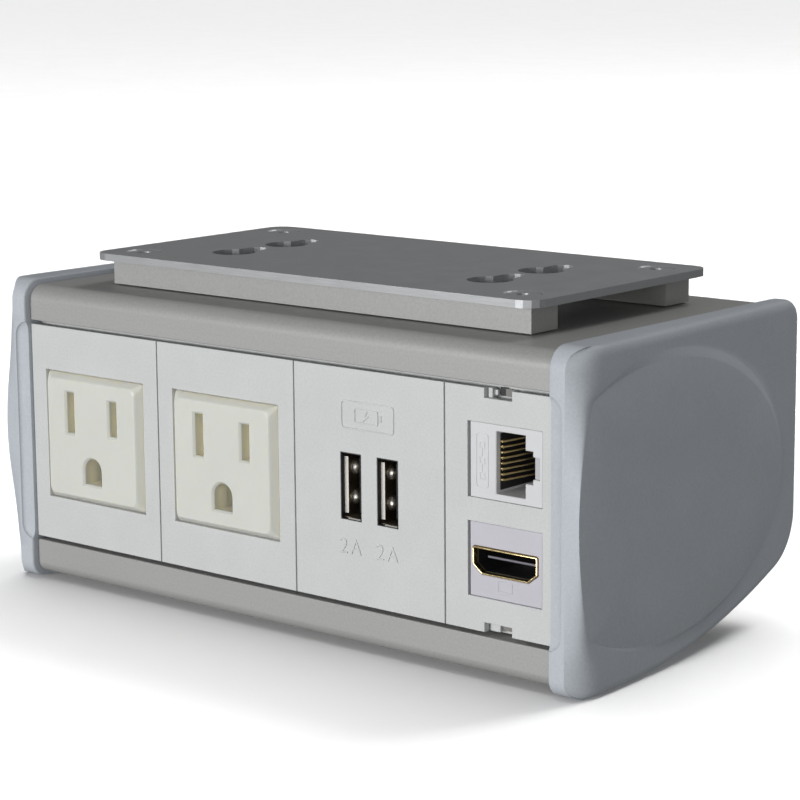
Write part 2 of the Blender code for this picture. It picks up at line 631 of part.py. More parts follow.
def build_grommet():
    """Rubber grommet that the data leads pass through."""
    x, z = GROMMET
    middle = CASE_REAR - CAP_STEP - WALL / 2
    lip, groove = 3.0, WALL / 2 + GAP
    profile = [(6.0, lip), (9.6, lip), (10.8, lip - 0.8), (10.8, groove), (8.6, groove), (8.6, -groove),
               (10.4, -groove), (10.4, -lip + 0.6), (9.6, -lip), (6.0, -lip), (6.0, lip)]
    turned("cable_grommet", (x, middle, z), (-math.pi / 2, 0, 0), profile, "rubber", 24)


def build_wiring():
    """Bus bars behind the receptacles, the wires from the inlet to them, and the case's earth screw."""
    spans = {"line": (7.3, 9.7, SOCKET_X[0] + 4.0, SOCKET_X[1] + 9.0),
             "neutral": (1.3, 3.7, SOCKET_X[0] - 9.0, SOCKET_X[1] + 4.0),
             "earth": (-7.9, -5.1, SOCKET_X[0] - 3.0, SOCKET_X[1] + 3.0)}
    for name, (low, high, left, right) in spans.items():
        box(f"bus_bar_{name}", (left, BUS_Y[0], low), (right, BUS_Y[1], high), "brass")
    tab = CASE_REAR - CAP_STEP - 25.0
    bar = BUS_Y[1] + GAP
    x, z = INLET
    routes = {"line": ((x + 7.0, z - 2.0), (SOCKET_X[1] - 6.0, 8.5), "wire_brown"),
              "neutral": ((x - 7.0, z - 2.0), (SOCKET_X[0] + 2.0, 2.5), "wire_blue"),
              "earth": ((x, z + 2.0), (SOCKET_X[1] - 2.0, -6.5), "wire_green")}
    for name, ((ax, az), (bx, bz), mat) in routes.items():
        start, end = Vector((ax, tab - GAP, az)), Vector((bx, bar, bz))
        stub, pull = Vector((0, 2.0, 0)), Vector((0, 8.0, 0))
        bend = [bezier(start - stub, start - pull, end + pull, end + stub, i / 10) for i in range(11)]
        tube(f"{name}_wire", [start, *bend, end], 1.3, mat)
    turned("earth_screw", (-8.0, CASE_REAR - CAP_STEP - WALL - GAP, INLET[1]), (math.pi / 2, 0, 0),
           [(0, 2.4), (2.6, 2.4), (3.3, 1.6), (3.3, 0.0), (1.8, 0.0), (1.8, -2.0), (0, -2.0)], "zinc_steel")


def bezier(a, b, c, d, t):
    s = 1 - t
    return a * s ** 3 + b * (3 * s * s * t) + c * (3 * s * t * t) + d * t ** 3


# ---------------------------------------------------------------- hanging hardware

def keyhole(x, y):
    """A keyhole that drops over a screw head and slides forwards onto its shank."""
    big, small, run = 4.6, 2.4, 7.0
    start = math.degrees(math.asin(small / big))
    return (arc((x, y), big, 90 + start, 450 - start, 16) + arc((x, y + run), small, 0, 180, 6))


def build_mounting():
    y = PLATE_MIDDLE_Y
    thick, bar_high = 1.5, PLATE_TOP - 1.8
    holes = [keyhole(sx * 34.0, y + dy) for sx in (-1, 1) for dy in (-11.0, 5.0)]
    outline = (arc((-54, y - 25), 4, 180, 270, 4) + arc((54, y - 25), 4, 270, 360, 4)
               + arc((54, y + 25), 4, 0, 90, 4) + arc((-54, y + 25), 4, 90, 180, 4))
    plate = prism("mounting_plate", "Z", [outline] + holes, PLATE_TOP - thick, PLATE_TOP, "zinc_steel")
    for i, (sx, sy) in enumerate(SCREW_AT, 1):
        cut(plate, rod(f"countersink_{i}", "Z", (sx, sy, PLATE_TOP - thick / 2), 2.2, thick + 0.4,
                       far_radius=4.1))
        turned(f"mounting_screw_{i}", (sx, sy, PLATE_TOP - 0.2), (0, 0, 0),
               [(0, -1.0), (1.2, -1.0), (1.4, 0), (3.4, 0), (1.85, -1.5), (1.85, -11.2), (0, -11.2)],
               "zinc_steel", 16)
    for name, sy in zip(("front", "rear"), BAR_Y):
        for piece, low, high, mat in (("spacer_bar", CASE_TOP - CAP_STEP + GAP, bar_high, "anodised"),
                                      ("nut_strip", 26.0, CASE_TOP - CAP_STEP - WALL - GAP, "zinc_steel")):
            holes = [circle(sx, sy, 2.2, 16) for sx in (-50.0, 50.0)]
            prism(f"{piece}_{name}", "Z", [rectangle(0, sy, 110.0, 8.0)] + holes, low, high, mat)


# ---------------------------------------------------------------- assembly

def shade_round_pieces():
    for obj in PART.objects:
        if obj.type == "MESH":
            obj.data.shade_smooth()
            obj.data.set_sharp_from_angle(angle=math.radians(35))


def build():
    build_extrusion()
    build_end_cap("end_cap_left", -1)
    build_end_cap("end_cap_right", 1)
    for n, x in enumerate(SOCKET_X, 1):
        build_receptacle(n, x)
    build_usb_module()
    build_data_module()
    build_inlet()
    build_grommet()
    build_wiring()
    build_mounting()
    shade_round_pieces()


clear_scene()
PART = bpy.data.collections.new("desk_power_strip")
CUTTERS = bpy.data.collections.new("cutters")
for group in (PART, CUTTERS):
    bpy.context.scene.collection.children.link(group)
MATERIALS = {name: make_material(name) for name in COLOURS}
ROOT = bpy.data.objects.new("strip_origin", None)
ROOT.location = Vector((0.0, -PLATE_MIDDLE_Y, -PLATE_TOP)) * MM
PART.objects.link(ROOT)
build()
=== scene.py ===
"""The look of the under-desk power and data strip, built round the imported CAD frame.

Lengths are millimetres measured from the centre of the module row's face: x right along the row, y back
into the case, z up. The helpers turn them into metres and put them where the frame's modules are.
"""
import json
import math

import bmesh
import bpy
from mathutils import Matrix, Vector


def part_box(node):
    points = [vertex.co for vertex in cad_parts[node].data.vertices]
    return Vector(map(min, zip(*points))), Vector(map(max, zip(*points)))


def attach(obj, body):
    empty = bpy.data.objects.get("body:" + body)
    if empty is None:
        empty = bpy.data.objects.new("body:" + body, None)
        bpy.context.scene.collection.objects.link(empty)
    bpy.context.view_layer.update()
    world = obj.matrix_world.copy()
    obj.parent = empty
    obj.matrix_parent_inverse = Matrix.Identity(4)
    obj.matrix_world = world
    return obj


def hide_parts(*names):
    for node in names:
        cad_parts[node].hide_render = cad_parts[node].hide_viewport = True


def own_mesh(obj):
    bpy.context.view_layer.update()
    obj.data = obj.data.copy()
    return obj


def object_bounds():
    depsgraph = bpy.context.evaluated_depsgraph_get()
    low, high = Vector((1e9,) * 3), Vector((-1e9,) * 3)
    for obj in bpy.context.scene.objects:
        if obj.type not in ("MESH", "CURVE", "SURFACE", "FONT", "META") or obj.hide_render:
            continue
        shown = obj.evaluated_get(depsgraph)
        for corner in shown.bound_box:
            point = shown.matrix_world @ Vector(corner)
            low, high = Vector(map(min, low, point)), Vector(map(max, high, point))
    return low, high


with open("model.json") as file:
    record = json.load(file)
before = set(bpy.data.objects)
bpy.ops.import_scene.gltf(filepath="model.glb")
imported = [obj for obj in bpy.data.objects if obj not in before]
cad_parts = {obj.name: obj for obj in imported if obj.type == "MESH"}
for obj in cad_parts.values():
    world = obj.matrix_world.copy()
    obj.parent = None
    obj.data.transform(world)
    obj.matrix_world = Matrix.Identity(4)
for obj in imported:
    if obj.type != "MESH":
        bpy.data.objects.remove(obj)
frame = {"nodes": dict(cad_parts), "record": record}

CAD_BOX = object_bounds()
MM = 0.001
PLATE_LOW, PLATE_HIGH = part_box("socket_frame_1")
ORIGIN = Vector((0.0, PLATE_LOW.y, (PLATE_LOW.z + PLATE_HIGH.z) / 2))


def local(node):
    """A CAD node's lowest and highest corners, in millimetres from the row's centre."""
    return tuple((corner - ORIGIN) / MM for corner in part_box(node))


def middle(node, axis=0):
    low, high = local(node)
    return (low[axis] + high[axis]) / 2


# module row
MODULE_W = 37.5
DATA_W = 25.0
MODULE_H = 45.7
ROW_HALF = (3 * MODULE_W + DATA_W) / 2
SEAM = 0.3
PLATE_T = 1.6
EDGE = 0.16                     # rounding on moulded edges

# case outline, seen from its end
CASE_FRONT = -1.6
CASE_REAR = 74.9
CASE_TOP = 32.2
CASE_FLOOR = -32.0
RAIL_Z = 23.65                  # where the rails' lips face the module row
WALL = 2.0
TOP_FRONT_R = 4.5
FLOOR_FRONT_R = 3.5
TOP_REAR_R = 4.0
FLOOR_REAR_R = 12.0
BELLY_R = 148.0
BELLY_Y = 12.0
CAP_STEP = 1.2                  # how far the caps stand out all round the case
BACK_Y = CASE_REAR - CAP_STEP

# end caps: how far out along x each level is
CAP_IN = ROW_HALF + 0.05
CAP_STRIP = 72.45               # where the flat strip along the front ends
CAP_FLANGE = 73.6               # the flange behind the plateau
FLANGE_TAPER = 0.044            # how much it rises for each millimetre towards the front
CAP_FACE = 75.6                 # the plateau's edge
CROWN = (0.8, 11.0)             # how much higher the plateau is inside its edge, and how far in

# end caps: how their levels run together
INNER_ROUND = 0.5
RIM_ROUND = 1.9
BLEND = 0.5                     # height over which the facet and the flange run together
BAND_SOFT = 0.15                # how much of the step is eased at its head and foot
GROOVE = 0.6                    # depth of the line at the foot of the step, below and behind
FACET_ROUND = 1.8               # how much rounder the facet is near the corners
CORNER_FROM = 21.5              # the height where the facet starts to widen into a corner
CORNER_FULL = 28.0              # and where it is widest
CORNER_SPREAD = 3.0
CORNER_RISE = 0.6
SCOOP = (0.9, 2.5)              # depth of the finger recess, and width of its curve
SCOOP_LONG = 46.8
SCOOP_WIDE = 10.0               # along x, mostly inwards of the cap, where it cuts nothing

# end caps, seen from the side: ellipses as centre y, centre z, half length, half height
PLATEAU = (25.0, 0.5, 40.0, 26.5)
SHOULDER = (26.2, 0.9, 41.8, 27.8)
BOW = (62.52, 0.0, 64.0, 64.0)
CAP_CENTRE = (30.0, 0.0)

# sockets, with each opening's width and height
SOCKET_WINDOW = (29.0, 27.3)
FACE_TOP = (25.5, 24.3)         # the face's flat centre, inside its sloping border
BLADE_X = 6.35
BLADE_Z = 5.3
NEUTRAL_SLOT = (2.2, 8.6)
HOT_SLOT = (2.1, 7.3)
GROUND_W = 5.0
GROUND_Z = (-9.3, -3.8)
FACE_PROUD = 1.15
USB_WINDOW = (5.2, 13.1)
JACK_WINDOW = (17.1, 14.1)
WINDOW_GAP = (0.4, 0.3)         # how far a jack's window reaches past it on the left and right
JACK_HALF = JACK_WINDOW[1] / 2 - 0.06   # half a jack's height, which leaves a hairline round it
NOTCH = (6.35, 1.85)
LINE = 0.2                      # width of the raised lines on the jacks


# ---------------------------------------------------------------- materials

class Nodes:
    """Adds shader nodes to one material and links them."""

    def __init__(self, name):
        self.material = bpy.data.materials.new(name)
        self.material.use_nodes = True
        self.tree = self.material.node_tree
        self.shader = self.tree.nodes["Principled BSDF"]
        self.coords = self.add("ShaderNodeTexCoord").outputs["Object"]

    def add(self, kind, **settings):
        node = self.tree.nodes.new(kind)
        for key, value in settings.items():
            setattr(node, key, value)
        return node

    def link(self, source, target):
        self.tree.links.new(source, target)

    def noise(self, feature_mm, stretch=(1, 1, 1), detail=3.0, roughness=0.55):
        """Noise whose features are about feature_mm across, drawn out along the stretched axes."""
        mapping = self.add("ShaderNodeMapping")
        mapping.inputs["Scale"].default_value = [1.0 / (feature_mm * MM * s) for s in stretch]
        self.link(self.coords, mapping.inputs["Vector"])
        noise = self.add("ShaderNodeTexNoise")
        noise.inputs["Scale"].default_value = 1.0
        noise.inputs["Detail"].default_value = detail
        noise.inputs["Roughness"].default_value = roughness
        self.link(mapping.outputs["Vector"], noise.inputs["Vector"])
        return noise.outputs["Fac"]

    def spread(self, value, low, high, start=0.3, end=0.7):
        remap = self.add("ShaderNodeMapRange")
        remap.inputs["From Min"].default_value = start
        remap.inputs["From Max"].default_value = end
        remap.inputs["To Min"].default_value = low
        remap.inputs["To Max"].default_value = high
        self.link(value, remap.inputs["Value"])
        return remap.outputs["Result"]

    def tint(self, factor, dark, light):
        mix = self.add("ShaderNodeMix", data_type="RGBA")
        mix.inputs["A"].default_value = (*dark, 1.0)
        mix.inputs["B"].default_value = (*light, 1.0)
        self.link(factor, mix.inputs["Factor"])
        return mix.outputs["Result"]

    def multiply(self, a, b):
        mix = self.add("ShaderNodeMix", data_type="RGBA", blend_type="MULTIPLY")
        mix.inputs["Factor"].default_value = 1.0
        self.link(a, mix.inputs["A"])
        self.link(b, mix.inputs["B"])
        return mix.outputs["Result"]

    def bump(self, height, depth_mm, under=None):
        bump = self.add("ShaderNodeBump")
        bump.inputs["Strength"].default_value = 1.0
        bump.inputs["Distance"].default_value = depth_mm * MM
        self.link(height, bump.inputs["Height"])
        if under is not None:
            self.link(under, bump.inputs["Normal"])
        return bump.outputs["Normal"]


def shade(colour, amount):
    return tuple(max(0.0, min(1.0, c * amount)) for c in colour)


def moulded(name, colour, roughness, grain=0.35, depth=0.006, mottle=0.03, speckle=0.05, soft=0.0,
            painted_glow=None):
    """Moulded or painted plastic: a fine spark-eroded grain, faint mottling and uneven gloss.

    With a glow colour, the plastic turns to it over the first millimetres behind the front: painted light,
    brighter and warmer, on the walls of its holes as if lit through the plastic.
    """
    n = Nodes(name)
    fine = n.noise(grain, detail=2.0, roughness=0.6)
    broad = n.noise(9.0, detail=2.0)
    base = n.tint(n.spread(broad, 0.0, 1.0), shade(colour, 1 - mottle), shade(colour, 1 + mottle))
    # painted light: walls behind the front are tinted as a glow shining through the plastic
    if painted_glow:
        axes = n.add("ShaderNodeSeparateXYZ")
        n.link(n.coords, axes.inputs["Vector"])
        mix = n.add("ShaderNodeMix", data_type="RGBA")
        n.link(n.spread(axes.outputs["Y"], 0.0, 1.0, -0.6 * MM, 1.1 * MM), mix.inputs["Factor"])
        n.link(base, mix.inputs["A"])
        mix.inputs["B"].default_value = (*painted_glow, 1.0)
        base = mix.outputs["Result"]
    fleck = n.tint(n.spread(fine, 0.0, 1.0), (1 - speckle,) * 3, (1.0, 1.0, 1.0))
    n.link(n.multiply(base, fleck), n.shader.inputs["Base Color"])
    n.link(n.spread(n.noise(2.5), roughness - 0.05, roughness + 0.05), n.shader.inputs["Roughness"])
    n.link(n.bump(fine, depth), n.shader.inputs["Normal"])
    n.shader.inputs["Specular IOR Level"].default_value = 0.45
    if soft:
        n.shader.inputs["Subsurface Weight"].default_value = soft
        n.shader.inputs["Subsurface Radius"].default_value = (0.9, 0.8, 0.5)
        n.shader.inputs["Subsurface Scale"].default_value = 2.5 * MM
    return n.material


def drawn_metal(name, colour, roughness, metallic=1.0, along=(60, 1, 1), grain=0.12, mottle=0.06):
    """Drawn, rolled or plated metal: fine lines along one direction and a little cloudiness."""
    n = Nodes(name)
    lines = n.noise(grain, along, detail=2.0)
    cloud = n.noise(6.0, detail=3.0)
    base = n.tint(n.spread(lines, 0.0, 1.0), shade(colour, 1 - mottle), shade(colour, 1 + mottle))
    n.link(base, n.shader.inputs["Base Color"])
    n.link(n.spread(cloud, roughness - 0.05, roughness + 0.07), n.shader.inputs["Roughness"])
    n.link(n.bump(lines, 0.003), n.shader.inputs["Normal"])
    n.shader.inputs["Metallic"].default_value = metallic
    return n.material


def anodised_case():
    """Satin silver extrusion: die lines along its length over a fine etched grain."""
    n = Nodes("anodised_case")
    colour = (0.40, 0.40, 0.39)
    lines = n.noise(0.5, (160, 1, 1), detail=4.0)
    etch = n.noise(0.45, detail=2.0)
    cloud = n.noise(14.0, (3, 1, 1))
    base = n.tint(n.spread(lines, 0.0, 1.0), shade(colour, 0.985), shade(colour, 1.01))
    fleck = n.tint(n.spread(etch, 0.0, 1.0), (0.88, 0.88, 0.88), (1.0, 1.0, 1.0))
    n.link(n.multiply(base, fleck), n.shader.inputs["Base Color"])
    n.link(n.spread(cloud, 0.46, 0.56), n.shader.inputs["Roughness"])
    under = n.bump(lines, 0.001)
    n.link(n.bump(etch, 0.012, under=under), n.shader.inputs["Normal"])
    n.shader.inputs["Metallic"].default_value = 0.2
    return n.material


def circuit_board():
    """Green solder resist with copper tracks showing through."""
    n = Nodes("circuit_board")
    tracks = n.add("ShaderNodeTexBrick")
    mapping = n.add("ShaderNodeMapping")
    mapping.inputs["Scale"].default_value = (180, 180, 180)
    mapping.inputs["Rotation"].default_value = (math.pi / 2, 0, 0)
    n.link(n.coords, mapping.inputs["Vector"])
    n.link(mapping.outputs["Vector"], tracks.inputs["Vector"])
    tracks.inputs["Color1"].default_value = (0.02, 0.14, 0.06, 1)
    tracks.inputs["Color2"].default_value = (0.02, 0.11, 0.05, 1)
    tracks.inputs["Mortar"].default_value = (0.05, 0.24, 0.10, 1)
    tracks.inputs["Mortar Size"].default_value = 0.04
    n.link(tracks.outputs["Color"], n.shader.inputs["Base Color"])
    n.link(n.spread(n.noise(3.0), 0.3, 0.45), n.shader.inputs["Roughness"])
    return n.material


def make_materials():
    return {
        "cap_paint": moulded("cap_paint", (0.50, 0.536, 0.578), 0.55, 0.5, 0.018, 0.02, 0.09),
        "anodised": anodised_case(),
        "module_grey": moulded("module_grey", (0.61, 0.625, 0.62), 0.46, 0.45, 0.016, 0.02, 0.09),
        # painted light: the cream's slot walls turn brighter and warmer behind its front
        "socket_cream": moulded("socket_cream", (0.68, 0.69, 0.64), 0.33, 0.8, 0.002, 0.012, 0.01, soft=0.5,
                                painted_glow=(0.97, 0.93, 0.76)),
        "shutter_tan": moulded("shutter_tan", (0.60, 0.55, 0.38), 0.45, 0.6, 0.004, 0.04, 0.03, soft=0.2),
        "jack_white": moulded("jack_white", (0.66, 0.665, 0.68), 0.36, 0.7, 0.002, 0.015, 0.015),
        "jack_lilac": moulded("jack_lilac", (0.545, 0.535, 0.585), 0.40, 0.6, 0.003, 0.02, 0.02),
        "black_plastic": moulded("black_plastic", (0.018, 0.018, 0.02), 0.42, 0.4, 0.006, 0.1, 0.1),
        "rubber": moulded("rubber", (0.022, 0.022, 0.022), 0.7, 0.5, 0.01, 0.15, 0.2),
        # painted shade: a darkened lilac grey for the video insert's front edge, deep in its mouth
        "nose_painted_shade": moulded("nose_painted_shade", (0.20, 0.19, 0.23), 0.4, 0.5, 0.003),
        # painted shade: dark grey sheets at the back of the latch notches
        "recess_painted_shade": moulded("recess_painted_shade", (0.22, 0.215, 0.205), 0.5, 0.5, 0.003),
        "insert_light": moulded("insert_light", (0.50, 0.50, 0.52), 0.4, 0.5, 0.003),
        "nickel": drawn_metal("nickel", (0.88, 0.85, 0.80), 0.34, along=(1, 40, 1)),
        # painted shade: nickel darkened and browned for the inside of the charging ports
        "nickel_painted_shade": drawn_metal("nickel_painted_shade", (0.36, 0.31, 0.25), 0.38, along=(1, 40, 1)),
        "satin_nickel": drawn_metal("satin_nickel", (0.56, 0.54, 0.50), 0.5, 0.45, along=(1, 40, 1)),
        "gold": drawn_metal("gold", (0.95, 0.76, 0.38), 0.2, along=(1, 30, 1), grain=0.2),
        "brass": drawn_metal("brass", (0.74, 0.54, 0.25), 0.28, along=(1, 40, 1)),
        "zinc_steel": drawn_metal("zinc_steel", (0.40, 0.41, 0.42), 0.45, 0.6, along=(50, 1, 1), mottle=0.08),
        "board_green": circuit_board(),
        "wire_brown": moulded("wire_brown", (0.16, 0.05, 0.02), 0.4, 0.6, 0.002),
        "wire_blue": moulded("wire_blue", (0.03, 0.10, 0.36), 0.4, 0.6, 0.002),
        "wire_green": moulded("wire_green", (0.05, 0.26, 0.07), 0.4, 0.6, 0.002),
    }


# ---------------------------------------------------------------- piece helpers

# turns a shape drawn flat, with its depth along z, so that its depth runs along one axis
AXIS_FRAMES = {
    "X": Matrix(((0, 0, 1, 0), (1, 0, 0, 0), (0, 1, 0, 0), (0, 0, 0, 1))),
    "Y": Matrix(((1, 0, 0, 0), (0, 0, -1, 0), (0, 1, 0, 0), (0, 0, 0, 1))),
    "Z": Matrix.Identity(4),
}


def add_piece(name, mesh, mat, replaces=()):
    """Make an object of a mesh in row coordinates, fixed to the root body, and hide the CAD nodes it
    replaces.
    """
    mesh.name = name
    obj = bpy.data.objects.new(name, mesh)
    bpy.context.scene.collection.objects.link(obj)
    obj.location = ORIGIN
    mesh.materials.clear()
    mesh.materials.append(MATERIALS[mat])
    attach(obj, "root")
    if replaces:
        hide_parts(*replaces)
    return obj


def finished(bm, outward=True):
    """A mesh made of a bmesh, which is freed."""
    if outward:
        bmesh.ops.recalc_face_normals(bm, faces=bm.faces[:])
    mesh = bpy.data.meshes.new("piece")
    bm.to_mesh(mesh)
    bm.free()
    return mesh


def smooth(obj, angle=35.0, weighted=True):
    obj.data.shade_smooth()
    obj.data.set_sharp_from_angle(angle=math.radians(angle))
    if weighted:
        normals = obj.modifiers.new("normals", "WEIGHTED_NORMAL")
        normals.keep_sharp = True
    return obj


def round_edges(obj, width, segments=3, angle=35.0):
    bevel = obj.modifiers.new("round", "BEVEL")
    bevel.width = width * MM
    bevel.segments = segments
    bevel.limit_method = "ANGLE"
    bevel.angle_limit = math.radians(angle)
    bevel.harden_normals = False
    return obj


def skin(rings):
    """A closed mesh skinned over rings of (x, y, z) points, flat at both ends."""
    bm = bmesh.new()
    loops = [[bm.verts.new(Vector(p) * MM) for p in ring] for ring in rings]
    for low, high in zip(loops, loops[1:]):
        for i in range(len(low)):
            j = (i + 1) % len(low)
            bm.faces.new((low[i], low[j], high[j], high[i]))
    bm.faces.new(loops[0])
    bm.faces.new(loops[-1])
    return finished(bm)


def box_mesh(low, high):
    size = [(b - a) * MM for a, b in zip(low, high)]
    centre = [(a + b) / 2 * MM for a, b in zip(low, high)]
    bm = bmesh.new()
    bmesh.ops.create_cube(bm, size=1.0, matrix=Matrix.Translation(centre) @ Matrix.Diagonal((*size, 1.0)))
    return finished(bm)


def rod_mesh(axis, at, radius, length, sides=48):
    bm = bmesh.new()
    matrix = Matrix.Translation(Vector(at) * MM) @ AXIS_FRAMES[axis]
    bmesh.ops.create_cone(bm, cap_ends=True, segments=sides, radius1=radius * MM, radius2=radius * MM,
                          depth=length * MM, matrix=matrix)
    return finished(bm, outward=False)


def block(name, low, high, mat, edge=0.2, replaces=()):
    """A box between two corners, with its edges rounded."""
    obj = add_piece(name, box_mesh(low, high), mat, replaces)
    if edge:
        round_edges(obj, edge)
        smooth(obj)
    return obj


def curve_mesh(curve, matrix):
    guide = bpy.data.objects.new("guide", curve)
    bpy.context.scene.collection.objects.link(guide)
    graph = bpy.context.evaluated_depsgraph_get()
    mesh = bpy.data.meshes.new_from_object(guide.evaluated_get(graph))
    bpy.data.objects.remove(guide)
    bpy.data.curves.remove(curve)
    mesh.transform(matrix)
    bm = bmesh.new()
    bm.from_mesh(mesh)
    bmesh.ops.remove_doubles(bm, verts=bm.verts[:], dist=0.000002)
    bmesh.ops.dissolve_degenerate(bm, edges=bm.edges[:], dist=0.000001)
    bmesh.ops.recalc_face_normals(bm, faces=bm.faces[:])
    bm.to_mesh(mesh)
    bm.free()
    return mesh


def sheet_mesh(axis, loops, start, end, edge=0.0):
    """Mesh of flat outlines extruded along an axis, with rounded edges inside and out."""
    curve = bpy.data.curves.new("outline", "CURVE")
    curve.dimensions = "2D"
    curve.fill_mode = "BOTH"
    curve.extrude = (abs(end - start) / 2 - edge) * MM
    if edge:
        curve.bevel_depth = edge * MM
        curve.bevel_resolution = 2
        curve.offset = -edge * MM
    for loop in loops:
        spline = curve.splines.new("POLY")
        spline.points.add(len(loop) - 1)
        for point, (a, b) in zip(spline.points, loop):
            point.co = (a * MM, b * MM, 0.0, 1.0)
        spline.use_cyclic_u = True
    direction = {"X": (1, 0, 0), "Y": (0, 1, 0), "Z": (0, 0, 1)}[axis]
    shift = Matrix.Translation(Vector(direction) * (start + end) / 2 * MM)
    return curve_mesh(curve, shift @ AXIS_FRAMES[axis])


def cut_out(name, axis, loops, start, end, mat, edge=0.0, replaces=()):
    return smooth(add_piece(name, sheet_mesh(axis, loops, start, end, edge), mat, replaces))


def wire_piece(name, paths, radius, mat, replaces=()):
    """Round wires through lists of points, all in one piece."""
    curve = bpy.data.curves.new(name, "CURVE")
    curve.dimensions = "3D"
    curve.bevel_depth = radius * MM
    curve.bevel_resolution = 3
    curve.use_fill_caps = True
    for path in paths:
        spline = curve.splines.new("POLY")
        spline.points.add(len(path) - 1)
        for point, co in zip(spline.points, path):
            point.co = (*(c * MM for c in co), 1.0)
    obj = add_piece(name, curve_mesh(curve, Matrix.Identity(4)), mat, replaces)
    return smooth(obj, 50)


def carve(obj, *meshes):
    """Cut meshes out of a piece for good, and drop the cutters."""
    tools = []
    for mesh in meshes:
        tool = bpy.data.objects.new("cutter", mesh)
        bpy.context.scene.collection.objects.link(tool)
        tool.location = ORIGIN
        step = obj.modifiers.new("cut", "BOOLEAN")
        step.object = tool
        step.solver = "EXACT"
        tools.append(tool)
    bpy.context.view_layer.update()
    graph = bpy.context.evaluated_depsgraph_get()
    result = bpy.data.meshes.new_from_object(obj.evaluated_get(graph))
    name = obj.data.name
    obj.modifiers.clear()
    obj.data = result
    result.name = name
    for tool in tools:
        bpy.data.objects.remove(tool)
    return obj


# ---------------------------------------------------------------- outlines

def arc(centre, radius, start, end, steps):
    angles = [math.radians(start + (end - start) * i / steps) for i in range(steps + 1)]
    return [(centre[0] + radius * math.cos(a), centre[1] + radius * math.sin(a)) for a in angles]


def rectangle(cx, cz, w, h, radius=0.0, steps=5):
    x, z = w / 2 - radius, h / 2 - radius
    corners = (((-x, -z), 180), ((x, -z), 270), ((x, z), 0), ((-x, z), 90))
    if not radius:
        return [(cx + dx, cz + dz) for (dx, dz), turn in corners]
    return [p for (dx, dz), turn in corners for p in arc((cx + dx, cz + dz), radius, turn, turn + 90, steps)]


def case_outline(inset, front, spacing=500.0, fine=1):
    """The case's end view as (y, z), moved inwards by inset, with its front at a given y."""
    top, rear, floor = CASE_TOP - inset, CASE_REAR - inset, CASE_FLOOR + inset
    front_low = max(FLOOR_FRONT_R - inset, 0.3)
    front_high = max(TOP_FRONT_R - inset, 0.3)
    rear_high = max(TOP_REAR_R - inset, 0.3)
    belly = (BELLY_Y, CASE_FLOOR + BELLY_R)
    corner_y = CASE_REAR - FLOOR_REAR_R
    corner_z = belly[1] - math.sqrt((BELLY_R - FLOOR_REAR_R) ** 2 - (corner_y - BELLY_Y) ** 2)
    lift = math.degrees(math.atan2(corner_z - belly[1], corner_y - BELLY_Y))
    low = arc((front + front_low, floor + front_low), front_low, 180, 270, 8 * fine)
    long_floor = arc(belly, BELLY_R - inset, -90, lift, 24 * fine)
    back = arc((corner_y, corner_z), FLOOR_REAR_R - inset, lift, 0, 12 * fine)[1:]
    high_back = arc((rear - rear_high, top - rear_high), rear_high, 0, 90, 8 * fine)
    high = arc((front + front_high, top - front_high), front_high, 90, 180, 10 * fine)
    whole = case_runs(spacing)
    points = low + spaced(low[-1], long_floor[0], whole[0]) + long_floor + back
    points += spaced(back[-1], high_back[0], whole[1]) + high_back
    points += spaced(high_back[-1], high[0], whole[2]) + high
    return points + spaced(high[-1], low[0], whole[3])


def case_runs(spacing):
    """How many steps each straight run of the outline takes, the same for every inset."""
    runs = (BELLY_Y - CASE_FRONT, CASE_TOP - CASE_FLOOR, CASE_REAR - CASE_FRONT, CASE_TOP - CASE_FLOOR)
    return [max(1, round(run / spacing)) for run in runs]


def spaced(a, b, steps):
    return [tuple(p + (q - p) * i / steps for p, q in zip(a, b)) for i in range(1, steps)]


def ellipse_reach(shape, angle):
    """How far an ellipse reaches from the caps' centre in one direction."""
    cy, cz, a, b = shape
    dy, dz = math.cos(angle) / a, math.sin(angle) / b
    oy, oz = (CAP_CENTRE[0] - cy) / a, (CAP_CENTRE[1] - cz) / b
    square, half, rest = dy * dy + dz * dz, oy * dy + oz * dz, oy * oy + oz * oz - 1.0
    return (-half + math.sqrt(half * half - square * rest)) / square


# ---------------------------------------------------------------- case and end caps

